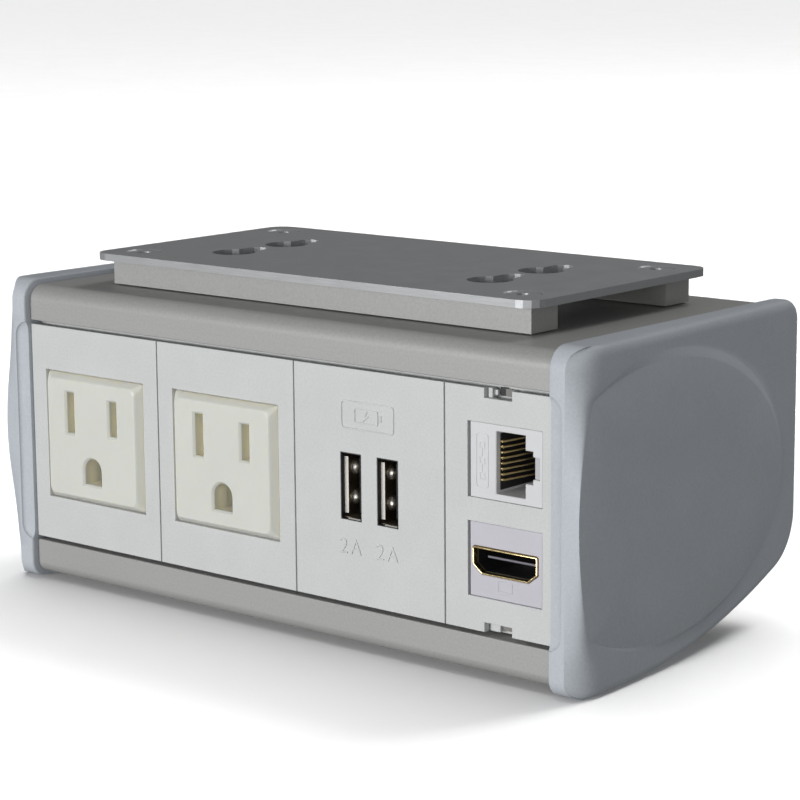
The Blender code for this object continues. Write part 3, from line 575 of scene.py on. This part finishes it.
def build_case():
    """The extrusion, with dense arcs on its bull-nose rails and every cut-out of the CAD."""
    outer = case_outline(CAP_STEP, 0.0, fine=2)
    inner = case_outline(CAP_STEP + WALL, WALL, fine=2)
    edge, groove, thick = 0.25, 0.8, 1.5
    lip = [(0.0, RAIL_Z + edge)] + arc((edge, RAIL_Z + edge), edge, 180, 270, 3)[1:-1]
    lip += [(y, RAIL_Z + dz) for y, dz in ((edge, 0.0), (4.6, 0.0), (4.6, groove), (6.6, groove), (6.6, 0.0),
                                           (9.0, 0.0), (9.0, thick), (WALL, thick))]
    lower_lip = [(y, -z) for y, z in reversed(lip)]
    low, high = local("body_extrusion")
    profile = outer + lip + list(reversed(inner)) + lower_lip
    case = add_piece("case_extrusion", sheet_mesh("X", [profile], low.x, high.x), "anodised",
                     replaces=["body_extrusion"])
    wall = BACK_Y - WALL / 2
    inlet_low, inlet_high = local("inlet_housing")
    inlet = ((inlet_low.x + inlet_high.x) / 2, (inlet_low.z + inlet_high.z) / 2)
    half_w, half_h, through = 14.0, 10.3, 8.0
    tools = [box_mesh((inlet[0] - half_w, wall - through / 2, inlet[1] - half_h),
                      (inlet[0] + half_w, wall + through / 2, inlet[1] + half_h))]
    for n in (1, 2):
        tools.append(rod_mesh("Y", (middle(f"inlet_screw_{n}"), wall, inlet[1]), 1.9, through, 24))
    tools.append(rod_mesh("Y", (middle("cable_grommet"), wall, middle("cable_grommet", 2)), 9.0, through))
    tools.append(rod_mesh("Y", (middle("earth_screw"), wall, middle("earth_screw", 2)), 2.2, through, 24))
    roof = CASE_TOP - CAP_STEP - WALL / 2
    for n in range(1, 5):
        screw = f"mounting_screw_{n}"
        tools.append(rod_mesh("Z", (middle(screw), middle(screw, 1), roof), 2.25, through, 24))
    carve(case, *tools)
    smooth(case, 30)


def front_edge(z):
    """How far forward the cap's outline reaches at one height."""
    radius = TOP_FRONT_R if z > 0 else FLOOR_FRONT_R
    past = z - CASE_TOP + radius if z > 0 else CASE_FLOOR + radius - z
    past = min(max(0.0, past), radius)
    return CASE_FRONT + radius - math.sqrt(radius ** 2 - past ** 2)


def facet_level(y, z):
    """The facet leans back from the strip to the bow, flat at mid-height and rounded at the corners."""
    start, bow = front_edge(z), BOW[0] - BOW[2] * math.sqrt(1 - (z / BOW[3]) ** 2)
    corner = min(1.0, max(0.0, (abs(z) - CORNER_FROM) / (CORNER_FULL - CORNER_FROM)))
    end = bow + CORNER_SPREAD * corner * corner * (3 - 2 * corner)
    left = 1 - min(1.0, max(0.0, (y - start) / (end - start)))
    top = CAP_FACE + CORNER_RISE * corner
    return top - (top - CAP_STRIP) * left ** (1.5 + FACET_ROUND * (z / 27.0) ** 2)


def flange_level(y):
    """The flange round the plateau falls towards the rear: above the plateau in front, below it behind."""
    return CAP_FLANGE + FLANGE_TAPER * (PLATEAU[0] + PLATEAU[2] - y)


class CapRay:
    """The cap's outer surface along one line from its centre out to a point of its rim."""

    def __init__(self, point, normal):
        self.angle = math.atan2(point[1] - CAP_CENTRE[1], point[0] - CAP_CENTRE[0])
        self.reach = math.dist(point, CAP_CENTRE)
        self.square = math.cos(self.angle) * normal[0] + math.sin(self.angle) * normal[1]
        self.front = max(0.0, -normal[0]) ** 2
        self.rim = CAP_STRIP * self.front + (flange_level(point[0]) - RIM_ROUND) * (1 - self.front)
        self.ellipse = ellipse_reach(PLATEAU, self.angle)
        self.foot = ellipse_reach(SHOULDER, self.angle)
        self.plateau = min(self.ellipse, ellipse_reach(BOW, self.angle))
        self.shoulder = min(self.foot, self.plateau + 0.5 * (self.reach - self.plateau))

    def at(self, reach):
        return CAP_CENTRE[0] + reach * math.cos(self.angle), CAP_CENTRE[1] + reach * math.sin(self.angle)

    def level(self, reach):
        """Height outside the plateau: the facet, or the band and the flange with its rounded rim."""
        y, z = self.at(reach)
        flange = flange_level(y)
        down = min(1.0, max(0.0, (reach - self.ellipse) / (self.foot - self.ellipse)))
        step = CAP_FACE - (CAP_FACE - flange) * (down + BAND_SOFT * down * (1 - down) * (2 * down - 1))
        left = 1 - min(1.0, max(0.0, (self.reach - reach) * self.square / RIM_ROUND))
        full = self.front + (1 - self.front) * math.sqrt(1 - left ** 2)
        low_rear = max(0.0, -math.sin(self.angle)) * min(1.0, max(0.0, 0.1 + 1.5 * math.cos(self.angle)))
        step -= GROOVE * low_rear * max(0.0, -math.sin(2 * math.pi * down))
        facet = facet_level(y, z)
        near = max(0.0, BLEND - abs(facet - step)) * down
        return self.rim + (min(facet, step) - near * near / (4 * BLEND) - self.rim) * full

    def crown(self, reach):
        return CAP_FACE + CROWN[0] * (1 - (1 - min(1.0, (self.plateau - reach) / CROWN[1])) ** 2)

    def spot(self, side, reach, height):
        return (side * height, *self.at(reach))


def scoop_mesh(side):
    """A cutter for the finger recess along a cap's front strip, hollowed to a curve at its outer edge."""
    rings = []
    for i in range(7):
        t = math.radians(15 * i)
        inset = SCOOP[1] * (1 - math.cos(t))
        size = (SCOOP_WIDE - 2 * inset, SCOOP_LONG - 2 * inset)
        outline = rectangle(side * (CAP_IN - 2.0), 0, *size, 3.2 - inset, 8)
        rings.append([(a, CASE_FRONT + SCOOP[0] * math.sin(t), b) for a, b in outline])
    rings.insert(0, [(a, CASE_FRONT - 2.0, b) for a, _, b in rings[0]])
    return skin(rings)


def build_end_cap(name, node, side):
    """A cap: its wall, a flange rounded off to the front strip, a step band and a crowned plateau."""
    perimeter = case_outline(0.0, CASE_FRONT, 1.0, 2)
    rays = []
    for i, point in enumerate(perimeter):
        before, after = perimeter[i - 1], perimeter[(i + 1) % len(perimeter)]
        run = Vector((after[0] - before[0], after[1] - before[1])).normalized()
        rays.append(CapRay(point, (run.y, -run.x)))
    rings = []
    for i in range(5):
        t = math.radians(90 * i / 4)
        inset = INNER_ROUND * (1 - math.sin(t))
        outline = case_outline(inset, CASE_FRONT + inset, 1.0, 2)
        rings.append([(side * (CAP_IN + INNER_ROUND * (1 - math.cos(t))), y, z) for y, z in outline])
    for i in range(19):
        t = 1 - math.cos(math.radians(90 * i / 18))
        rings.append([ray.spot(side, r, ray.level(r)) for ray in rays
                      for r in [ray.reach + (ray.shoulder - ray.reach) * t]])
    for t in (0.05, 0.15, 0.3, 0.45, 0.6, 0.75, 0.88, 0.96, 1.0):
        rings.append([ray.spot(side, r, ray.level(r)) for ray in rays
                      for r in [ray.shoulder + (ray.plateau - ray.shoulder) * t]])
    for part in (0.994, 0.98, 0.95, 0.9, 0.84, 0.77, 0.7, 0.6, 0.45, 0.2):
        rings.append([ray.spot(side, r, ray.crown(r)) for ray in rays for r in [ray.plateau * part]])
    cap = add_piece(name, skin(rings), "cap_paint", replaces=[node])
    carve(cap, scoop_mesh(side))
    smooth(cap, 32, weighted=False)


# ---------------------------------------------------------------- module plates

def build_plate(name, node, x, width, windows, notch=False):
    w, h = width / 2 - SEAM / 2, MODULE_H / 2
    outline = [(x - w, -h), (x + w, -h), (x + w, h), (x - w, h)]
    if notch:
        half, deep = NOTCH[0] / 2, h - NOTCH[1]
        lower = [(-w, -h), (-half, -h), (-half, -deep), (half, -deep), (half, -h), (w, -h)]
        outline = [(x + a, b) for a, b in lower] + [(x - a, -b) for a, b in lower]
    return cut_out(name, "Y", [outline] + windows, 0.0, PLATE_T, "module_grey", EDGE, replaces=[node])


def build_skirt(name, x, width):
    """The moulded wall behind a plate, seen through its notches and seams."""
    w, h = width / 2 - 1.2, MODULE_H / 2 - 2.6
    cut_out(name, "Y", [rectangle(x, 0, 2 * w, 2 * h, 1.0), rectangle(x, 0, 2 * w - 2.4, 2 * h - 2.4, 0.6)],
            PLATE_T - 0.1, 9.0, "module_grey", 0.1)


def build_row_trim():
    """Ledges behind the seams along both rails, webs behind the seams between modules, and end fillers."""
    for i in (1, 2, 3):
        seam = i * MODULE_W - ROW_HALF
        block(f"row_web_{i}", (seam - 1.2, 2.1, -22.0), (seam + 1.2, 2.9, 22.0), "module_grey", 0.1)
    for side, tag in ((1, "upper"), (-1, "lower")):
        low, high = sorted((side * (MODULE_H / 2 - 2.6), side * (RAIL_Z - 0.45)))
        block(f"row_ledge_{tag}", (-ROW_HALF, 3.0, low), (ROW_HALF, 4.2, high), "module_grey", 0.1)
    for side, tag in ((-1, "left"), (1, "right")):
        left, right = sorted((side * (CAP_IN - 0.02), side * (ROW_HALF - SEAM / 2 + 0.02)))
        block(f"row_filler_{tag}", (left, 0.2, -MODULE_H / 2), (right, PLATE_T, MODULE_H / 2), "module_grey",
              0.0)


# ---------------------------------------------------------------- receptacles

def ground_outline(x, grow=0.0):
    radius = GROUND_W / 2 + grow
    low, high = GROUND_Z[0] - grow, GROUND_Z[1] + grow
    return [(x - radius, low), (x + radius, low)] + arc((x, high - radius), radius, 0, 180, 20)


def flared_mesh(outline, front, back, flare):
    """A cutter whose mouth opens out by flare, so that the edge it leaves is chamfered."""
    rings = [(front - 0.05, flare + 0.05), (front + flare, 0.0), (back, 0.0)]
    return skin([[(a, y, b) for a, b in outline(grow)] for y, grow in rings])


def build_socket_face(n):
    """Cream face: a flat centre, a sloping border with soft edges, and chamfered slots."""
    low, high = local(f"socket_face_{n}")
    x = (low.x + high.x) / 2
    w, h = high.x - low.x, high.z - low.z
    slope = ((0.0, high.y), (0.0, 0.75), (0.1, 0.45), (0.35, -0.1), (0.65, -0.65), (0.85, -0.98),
             (0.95, -1.1), (1.08, -FACE_PROUD))
    loops = []
    for t, y in slope:
        outline = rectangle(x, 0, w + (FACE_TOP[0] - w) * t, h + (FACE_TOP[1] - h) * t, 0.5 + t, 6)
        loops.append([(a, y, b) for a, b in outline])
    face = add_piece(f"socket_front_{n}", skin(loops), "socket_cream", replaces=[f"socket_face_{n}"])

    def slot(dx, size):
        return lambda grow: rectangle(x + dx, BLADE_Z, size[0] + 2 * grow, size[1] + 2 * grow)

    holes = (slot(-BLADE_X, NEUTRAL_SLOT), slot(BLADE_X, HOT_SLOT), lambda grow: ground_outline(x, grow))
    carve(face, *[flared_mesh(hole, -FACE_PROUD, 6.0, 0.45) for hole in holes])
    smooth(face, 38)
    seal = [rectangle(x, 0, w + 0.5, h + 0.5), rectangle(x, 0, w - 1.0, h - 1.0)]
    cut_out(f"socket_seal_{n}", "Y", seal, 1.15, 1.5, "insert_light")
    sleeve = [ground_outline(x, 1.0), ground_outline(x)]
    cut_out(f"ground_sleeve_{n}", "Y", sleeve, high.y - 0.1, high.y + 5.0, "socket_cream")


def build_shutter_spring(n):
    """A coil between the shutter's leg and the housing, made at one fixed length; in the socket it shortens
    as the shutter slides.
    """
    node = f"shutter_spring_{n}"
    low, high = local(node)
    wire, turns, steps = 0.22, 5, 20
    radius = (high.z - low.z) / 2 - wire
    start, end = low.x + wire, high.x - wire
    y, z = (low.y + high.y) / 2, (low.z + high.z) / 2
    path = []
    for i in range(turns * steps + 1):
        turn = 2 * math.pi * i / steps
        along = start + (end - start) * i / (turns * steps)
        path.append((along, y + radius * math.cos(turn), z + radius * math.sin(turn)))
    coil = wire_piece(f"shutter_coil_{n}", [path], wire, "zinc_steel", replaces=[node])
    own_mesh(coil)


# ---------------------------------------------------------------- charging module

def frame_lines(cx, cz, w, h, pen, outer, inner):
    """The outer and inner outlines of a rectangular frame, with the radius of each one's corners."""
    return [rectangle(cx, cz, w, h, outer), rectangle(cx, cz, w - 2 * pen, h - 2 * pen, inner)]


def raised_lines(name, x, z, loops, front, mat, proud=0.19):
    """Thin raised lines on a face: closed outlines, alternately outer and inner edges."""
    shapes = [[(x + a, z + b) for a, b in loop] for loop in loops]
    obj = add_piece(name, sheet_mesh("Y", shapes, front - proud, front + 0.3, 0.04), mat)
    return smooth(obj, 50, weighted=False)


def stroke(points, width):
    """Outline of a polyline drawn with a square-ended pen."""
    left, right = [], []
    for i, (a, b) in enumerate(points):
        before = points[max(i - 1, 0)]
        after = points[min(i + 1, len(points) - 1)]
        run = Vector((after[0] - before[0], after[1] - before[1])).normalized() * width / 2
        left.append((a - run.y, b + run.x))
        right.append((a + run.y, b - run.x))
    return left + right[::-1]


def rating_text(name, x, z, words, height, front):
    """Raised rating number in Blender's own plain font."""
    text = bpy.data.curves.new(name, "FONT")
    text.body = words
    text.size = height / 0.72 * MM
    text.space_character = 1.25
    text.align_x = "CENTER"
    text.offset = -0.07 * MM
    text.extrude = 0.16 * MM
    text.bevel_depth = 0.03 * MM
    matrix = Matrix.Translation(Vector((x, front, z)) * MM) @ AXIS_FRAMES["Y"]
    obj = add_piece(name, curve_mesh(text, matrix), "module_grey")
    return smooth(obj, 50, weighted=False)


def build_usb_port(n):
    low, high = local(f"usb_shell_{n}")
    x = (low.x + high.x) / 2
    half_w, half_h = 2.57, 6.25
    # The sleeve and its spring arms use a darkened, browner nickel: painted shade for the inside of the port.
    cut_out(f"usb_sleeve_{n}", "Y", [rectangle(x, 0, 5.8, 13.2, 0.5), rectangle(x, 0, 5.14, 12.5, 0.3)],
            low.y, high.y, "nickel_painted_shade", replaces=[f"usb_shell_{n}"])
    w, h = USB_WINDOW[0] - 0.06, USB_WINDOW[1] - 0.06
    cut_out(f"usb_surround_{n}", "Y", [rectangle(x, 0, w, h), rectangle(x, 0, w - 0.3, h - 0.3)], 0.12, 1.05,
            "black_plastic")
    spring_y, spring_z = 4.5, 2.95
    lips = [((-half_w, 1.15), (-half_w + 0.85, 1.4), 11.0, 0.0, "side"),
            ((half_w + 0.2, 0.95), (half_w - 0.15, 1.9), 9.6, 0.0, "side"),
            ((-half_h - 0.22, 0.3), (-half_h + 0.02, 0.5), 3.0, 0.6, "floor"),
            ((half_h + 0.3, 1.1), (half_h - 0.15, 1.9), 4.2, 0.0, "floor")]
    for i, (start, end, span, shift, kind) in enumerate(lips):
        outline = stroke([start, end], 0.22)
        if kind == "side":
            mesh = sheet_mesh("Z", [[(x + a, b) for a, b in outline]], shift - span / 2, shift + span / 2)
        else:
            mesh = sheet_mesh("X", [[(b, a) for a, b in outline]], x - span / 2 + shift, x + span / 2 + shift)
        smooth(add_piece(f"usb_lip_{n}_{i}", mesh, "satin_nickel"))
    for i, z in enumerate((-spring_z, spring_z)):
        bm = bmesh.new()
        centre = Matrix.Translation(Vector((x - half_w - 0.1, spring_y, z)) * MM)
        bmesh.ops.create_uvsphere(bm, u_segments=24, v_segments=16, radius=1.5 * MM, matrix=centre)
        smooth(add_piece(f"usb_dimple_{n}_{i}", finished(bm), "nickel"), 60, weighted=False)
        arm = stroke([(x - half_w - 0.02, 2.6), (x - half_w + 0.12, 4.4), (x - half_w - 0.05, 9.0)], 0.12)
        smooth(add_piece(f"usb_spring_{n}_{i}", sheet_mesh("Z", [arm], z - 1.1, z + 1.1), "nickel_painted_shade"))
    tongue = local(f"usb_tongue_{n}")[0].y
    block(f"usb_insert_{n}", (x + 0.02, tongue, -5.5), (x + 1.8, 13.2, 5.5), "black_plastic", 0.25,
          replaces=[f"usb_tongue_{n}"])
    for i, z in enumerate((-3.5, -1.0, 1.0, 3.5)):
        block(f"usb_contact_{n}_{i}", (x - 0.12, tongue + 0.8, z - 0.5), (x + 0.05, 12.0, z + 0.5), "gold",
              0.05)
    block(f"usb_back_{n}", (x - half_w, 13.2, -half_h), (x + half_w, 14.4, half_h), "black_plastic", 0.1)


def build_charging_module():
    x = middle("usb_frame")
    ports = [middle(f"usb_shell_{n}") for n in (1, 2)]
    plate = build_plate("usb_plate", "usb_frame", x, MODULE_W, [rectangle(p, 0, *USB_WINDOW) for p in ports])
    carve(plate, *[box_mesh((p - 3.5, 0.85, -7.6), (p + 3.5, PLATE_T + 1, 7.6)) for p in ports])
    smooth(plate)
    build_skirt("usb_skirt", x, MODULE_W)
    for n, port in enumerate(ports, 1):
        build_usb_port(n)
        rating_text(f"usb_rating_{n}", port - 0.1, -13.1, "2A", 3.1, 0.0)
    pen = 0.26
    bolt = [(0.05, 1.0), (-1.45, -0.12), (-0.6, -0.12), (-1.05, -1.0), (0.45, 0.12), (-0.4, 0.12)]
    battery = {"frame": frame_lines(0, 0, 13.2, 5.5, pen, 0.9, 0.65),
               "cell": frame_lines(-0.3, 0, 6.0, 2.8, pen, 0.4, 0.2),
               "tip": [rectangle(3.25, 0, 0.5, 1.2)], "bolt": [bolt]}
    for part, loops in battery.items():
        raised_lines(f"usb_sign_{part}", x + 0.05, 14.0, loops, 0.0, "module_grey")


# ---------------------------------------------------------------- data module

def jack_centre(node):
    """The x and z of the centre of a jack's window."""
    low, high = local(node)
    return (low.x - WINDOW_GAP[0] + high.x + WINDOW_GAP[1]) / 2, (low.z + high.z) / 2


def build_data_module():
    x = middle("data_frame")
    windows = [rectangle(*jack_centre(node), *JACK_WINDOW) for node in ("rj45_jack", "hdmi_coupler")]
    build_plate("data_plate", "data_frame", x, DATA_W, windows, notch=True)
    build_skirt("data_skirt", x, DATA_W)
    for side, tag in ((1, "upper"), (-1, "lower")):
        build_latch(f"data_latch_{tag}", x, side)
    build_network_jack()
    build_video_socket()


def build_latch(name, x, side):
    """The release latch behind a notch: a hooked finger at one end, and thin black and dark grey sheets at
    the back of the notch, painted shade where its screwdriver slot goes deep.
    """
    def part(word, low, high, mat):
        ends = sorted((side * low[2], side * high[2]))
        block(name + word, (x + low[0], low[1], ends[0]), (x + high[0], high[1], ends[1]), mat, 0.1)

    if side > 0:
        part("", (-2.95, 1.0, 21.0), (-2.0, 2.4, 22.8), "module_grey")
        part("_hook", (-2.1, 1.7, 21.4), (-1.3, 2.4, 22.4), "module_grey")
        # thin dark sheets: painted shade for the depth of the slot
        part("_slot", (-1.2, 2.25, 21.3), (0.2, 2.45, 22.9), "black_plastic")
        part("_slot_end", (0.1, 2.2, 21.3), (3.0, 2.45, 22.7), "recess_painted_shade")
    else:
        part("", (-2.95, 1.5, 21.0), (-0.6, 2.4, 22.8), "module_grey")
        part("_slot", (-0.6, 2.2, 21.6), (2.6, 2.45, 22.5), "recess_painted_shade")


def jack_mouth(x, z, grow=0.0):
    """The network socket's stepped outline: a body, then a step for the plug's latch."""
    body, step = (6.66 + grow, 5.8 + grow), (8.35 + grow, 3.05 + grow)
    lower = [(-grow, -body[1]), (body[0], -body[1]), (body[0], -step[1]), (step[0], -step[1])]
    return [(x + a, z + b) for a, b in lower] + [(x + a, z - b) for a, b in reversed(lower)]


def build_gap_shade(name, low, high, z):
    """Black strips behind the slim gaps at a jack's two sides: painted shade, so that the gaps read dark."""
    foot, head = z - JACK_HALF, z + JACK_HALF
    for tag, left, right in (("left", low.x - 0.9, low.x + 0.1), ("right", high.x + 0.17, high.x + 0.9)):
        block(f"{name}_gap_shade_{tag}", (left, 2.0, foot), (right, 2.6, head), "black_plastic", 0.05)


def build_network_jack():
    """The jack lying on its side: its carved body, its latch step, eight bent wires and a sign."""
    low, high = local("rj45_jack")
    x, z = jack_centre("rj45_jack")
    mouth, front = x - 2.08, low.y
    jack = block("network_jack", (low.x + 0.12, front, z - JACK_HALF), (high.x + 0.15, 13.5, z + JACK_HALF),
                 "jack_white", 0.0, replaces=["rj45_jack"])
    catch = box_mesh((mouth + 8.0, front - 1, z - 2.05), (mouth + 9.9, front + 0.8, z + 2.05))
    carve(jack, flared_mesh(lambda grow: jack_mouth(mouth, z, grow), front, 12.4, 0.12), catch)
    round_edges(jack, 0.12, 2, 60)
    smooth(jack)
    build_gap_shade("network", low, high, z)
    block("network_jack_back", (low.x + 1.0, 13.4, z - 6.2), (high.x - 1.5, 24.0, z + 6.2), "jack_white", 0.3)

    def inner(name, start, end, half, mat, edge):
        """A block whose x runs from the mouth's left edge, and whose z is centred on the jack."""
        block(name, (mouth + start[0], start[1], z - half), (mouth + end[0], end[1], z + half), mat, edge)

    # a mid-grey sheet low in the latch pocket: painted shade for the pocket's floor
    inner("network_pocket_shade", (8.36, front + 0.7), (9.86, front + 1.0), 2.0, "insert_light", 0.02)
    inner("network_insert", (-0.25, 1.45), (0.18, 12.3), 5.25, "black_plastic", 0.08)
    inner("network_insert_back", (0.1, 11.2), (8.5, 12.35), 5.7, "black_plastic", 0.05)
    bend = ((0.12, 2.3), (0.14, 1.75), (0.30, 1.45), (0.55, 1.42), (0.78, 1.7), (1.1, 3.6), (1.5, 6.4),
            (2.2, 11.3))
    pitch, lift = 1.02, 0.25
    paths = []
    for i in range(8):
        row = z + (3.5 - i) * pitch + lift
        paths.append([(mouth + a, y, row) for a, y in bend])
    wire_piece("network_wires", paths, 0.23, "gold", replaces=["rj45_contacts"])

    def sign(word, loops):
        raised_lines(f"network_sign_{word}", mouth - 3.2, z, loops, front, "jack_white", 0.1)

    sign("frame", frame_lines(0, 0, 2.9, 10.2, LINE, 0.7, 0.5))
    for i, dz in enumerate((2.9, 0.0, -2.9)):
        sign(f"box_{i}", frame_lines(0, dz, 1.3, 1.3, LINE, 0.15, 0.1))
    for i, dz in enumerate((1.45, -1.45)):
        sign(f"link_{i}", [rectangle(0, dz, LINE, 1.5)])


def video_outline(x, z, grow=0.0):
    """The video socket's outline, with rounded corners."""
    radius = 0.45
    corners = [(-5.3, -2.7), (5.3, -2.7), (7.45, -1.05), (7.45, 2.4), (-7.45, 2.4), (-7.45, -1.05)]
    count, points = len(corners), []
    for i, corner in enumerate(corners):
        here = Vector(corner)
        before = (Vector(corners[i - 1]) - here).normalized()
        after = (Vector(corners[(i + 1) % count]) - here).normalized()
        half = before.angle(after) / 2
        reach = radius / math.tan(half)
        centre = here + (before + after).normalized() * radius / math.sin(half)
        first, last = here + before * reach - centre, here + after * reach - centre
        turn = first.angle_signed(last)
        for k in range(6):
            spoke = first.copy()
            spoke.rotate(Matrix.Rotation(-turn * k / 5, 2))
            points.append(centre + spoke * (radius + grow) / radius)
    return [(x + p.x, z + p.y) for p in points]


def build_video_socket():
    """The coupler's body with its gold shell, the insert in the shell's mouth, and a screen sign below."""
    low, high = local("hdmi_coupler")
    x, z = jack_centre("hdmi_coupler")
    front = low.y
    coupler = block("video_coupler", (low.x + 0.08, front, z - JACK_HALF),
                    (high.x + 0.15, high.y, z + JACK_HALF), "jack_lilac", 0.0, replaces=["hdmi_coupler"])
    carve(coupler, flared_mesh(lambda grow: video_outline(x, z, grow + 0.12), front, 12.0, 0.1))
    round_edges(coupler, 0.12, 2, 60)
    smooth(coupler)
    build_gap_shade("video", low, high, z)
    shell = [video_outline(x, z), video_outline(x, z, -0.34)]
    cut_out("video_shell", "Y", shell, front - 0.3, 11.6, "gold", 0.12, replaces=["hdmi_shell"])
    # A black lining inside the gold shell: painted shade over the shell's inner walls.
    inner_shade = [video_outline(x, z, -0.36), video_outline(x, z, -0.42)]
    cut_out("video_inner_shade", "Y", inner_shade, front + 1.0, 11.5, "black_plastic")
    block("video_insert", (x - 5.6, 2.2, z - 0.05), (x + 5.6, 11.6, z + 0.5), "black_plastic", 0.05,
          replaces=["hdmi_tongue"])
    # The insert's front edge is a dark lilac grey: painted shade for an edge deep in the socket's mouth.
    block("video_insert_nose", (x - 5.4, 2.1, z + 0.08), (x + 5.5, 2.3, z + 0.42), "nose_painted_shade", 0.05)
    block("video_insert_back", (x - 7.0, 9.6, z - 2.4), (x + 7.0, 11.4, z + 2.1), "black_plastic", 0.1)
    sign = (x, z - 4.6)
    screen = frame_lines(0, 0.2, 3.4, 2.1, LINE, 0.3, 0.15)
    raised_lines("video_sign_screen", *sign, screen, front, "jack_lilac", 0.08)
    raised_lines("video_sign_foot", *sign, [rectangle(0, -1.25, 1.8, LINE)], front, "jack_lilac", 0.08)


# ---------------------------------------------------------------- CAD nodes that stay

def finish_cad_nodes():
    """Every CAD node gets its slot's material, and the ones outside get softened edges."""
    slots = {part["node"]: part["material_slot"] for part in frame["record"]["subparts"]}
    for node, obj in frame["nodes"].items():
        obj.data.materials.clear()
        obj.data.materials.append(MATERIALS[slots[node]])
    for node, width in (("mounting_plate", 0.2), ("spacer_bar_front", 0.3), ("spacer_bar_rear", 0.3),
                        ("inlet_housing", 0.4), ("rj45_rear_cap", 0.25)):
        round_edges(frame["nodes"][node], width, 2, 50)


# ---------------------------------------------------------------- stage

CAMERA_AT = (339.5, -359.7, 107.2)
CAMERA_YAW, CAMERA_PITCH, CAMERA_ROLL = 40.42, 10.66, -0.46
CAMERA_LENS = 116.5


def build_camera():
    yaw, pitch, roll = (math.radians(a) for a in (CAMERA_YAW, CAMERA_PITCH, CAMERA_ROLL))
    ahead = Vector((-math.sin(yaw) * math.cos(pitch), math.cos(yaw) * math.cos(pitch), -math.sin(pitch)))
    level = Vector((math.cos(yaw), math.sin(yaw), 0))
    over = level.cross(ahead)
    right = level * math.cos(roll) + over * math.sin(roll)
    up = over * math.cos(roll) - level * math.sin(roll)
    camera = bpy.data.objects.new("camera", bpy.data.cameras.new("camera"))
    camera.data.lens = CAMERA_LENS
    camera.data.clip_start = 0.01
    bpy.context.scene.collection.objects.link(camera)
    turn = Matrix((right, up, -ahead)).transposed().to_4x4()
    camera.matrix_world = Matrix.Translation(ORIGIN + Vector(CAMERA_AT) * MM) @ turn
    bpy.context.scene.camera = camera


def area_light(name, at, size, power):
    """A square soft box aimed at the middle of the object."""
    data = bpy.data.lights.new(name, "AREA")
    data.size = size
    data.energy = power
    light = bpy.data.objects.new(name, data)
    bpy.context.scene.collection.objects.link(light)
    light.location = at
    light.rotation_euler = (Vector((0, 0, -0.04)) - Vector(at)).to_track_quat("-Z", "Y").to_euler()


def light_floor(floor):
    """An overhead light for the backdrop alone, so that it stays pale and the object keeps its shading."""
    group = bpy.data.collections.new("floor_only")
    group.objects.link(floor)
    data = bpy.data.lights.new("paper_light", "SUN")
    data.energy = 2.7
    data.angle = math.radians(70)
    light = bpy.data.objects.new("paper_light", data)
    bpy.context.scene.collection.objects.link(light)
    light.rotation_euler = (math.radians(-20), math.radians(-12), 0)
    light.light_linking.receiver_collection = group


def build_stage():
    floor_z = CAD_BOX[0][2] - 0.0002
    bm = bmesh.new()
    bmesh.ops.create_grid(bm, x_segments=1, y_segments=1, size=30.0,
                          matrix=Matrix.Translation((0, 0, floor_z)))
    floor = bpy.data.objects.new("floor", finished(bm, outward=False))
    bpy.context.scene.collection.objects.link(floor)
    n = Nodes("floor_paper")
    n.link(n.tint(n.spread(n.noise(40.0), 0.0, 1.0), (0.86, 0.86, 0.86), (0.88, 0.88, 0.88)),
           n.shader.inputs["Base Color"])
    n.shader.inputs["Roughness"].default_value = 0.8
    floor.data.materials.append(n.material)
    floor.visible_diffuse = False
    floor.visible_glossy = False
    world = bpy.data.worlds.new("studio")
    world.use_nodes = True
    world.node_tree.nodes["Background"].inputs["Color"].default_value = (1.0, 1.0, 1.0, 1.0)
    world.node_tree.nodes["Background"].inputs["Strength"].default_value = 0.19
    bpy.context.scene.world = world
    area_light("key", (-0.32, -1.62, -0.1), 1.0, 42.0)
    area_light("fill", (1.05, -1.28, -0.05), 1.0, 8.0)
    area_light("rim", (0.3, 1.0, 1.3), 0.5, 7.0)
    light_floor(floor)
    bpy.context.scene.view_settings.view_transform = "Standard"


# ---------------------------------------------------------------- assembly

MATERIALS = make_materials()
build_camera()
build_stage()
finish_cad_nodes()
build_case()
build_end_cap("cap_left", "end_cap_left", -1)
build_end_cap("cap_right", "end_cap_right", 1)
for number in (1, 2):
    spot = middle(f"socket_frame_{number}")
    build_plate(f"socket_plate_{number}", f"socket_frame_{number}", spot, MODULE_W,
                [rectangle(spot, 0, *SOCKET_WINDOW)])
    build_skirt(f"socket_skirt_{number}", spot, MODULE_W)
    build_socket_face(number)
    build_shutter_spring(number)
build_row_trim()
build_charging_module()
build_data_module()
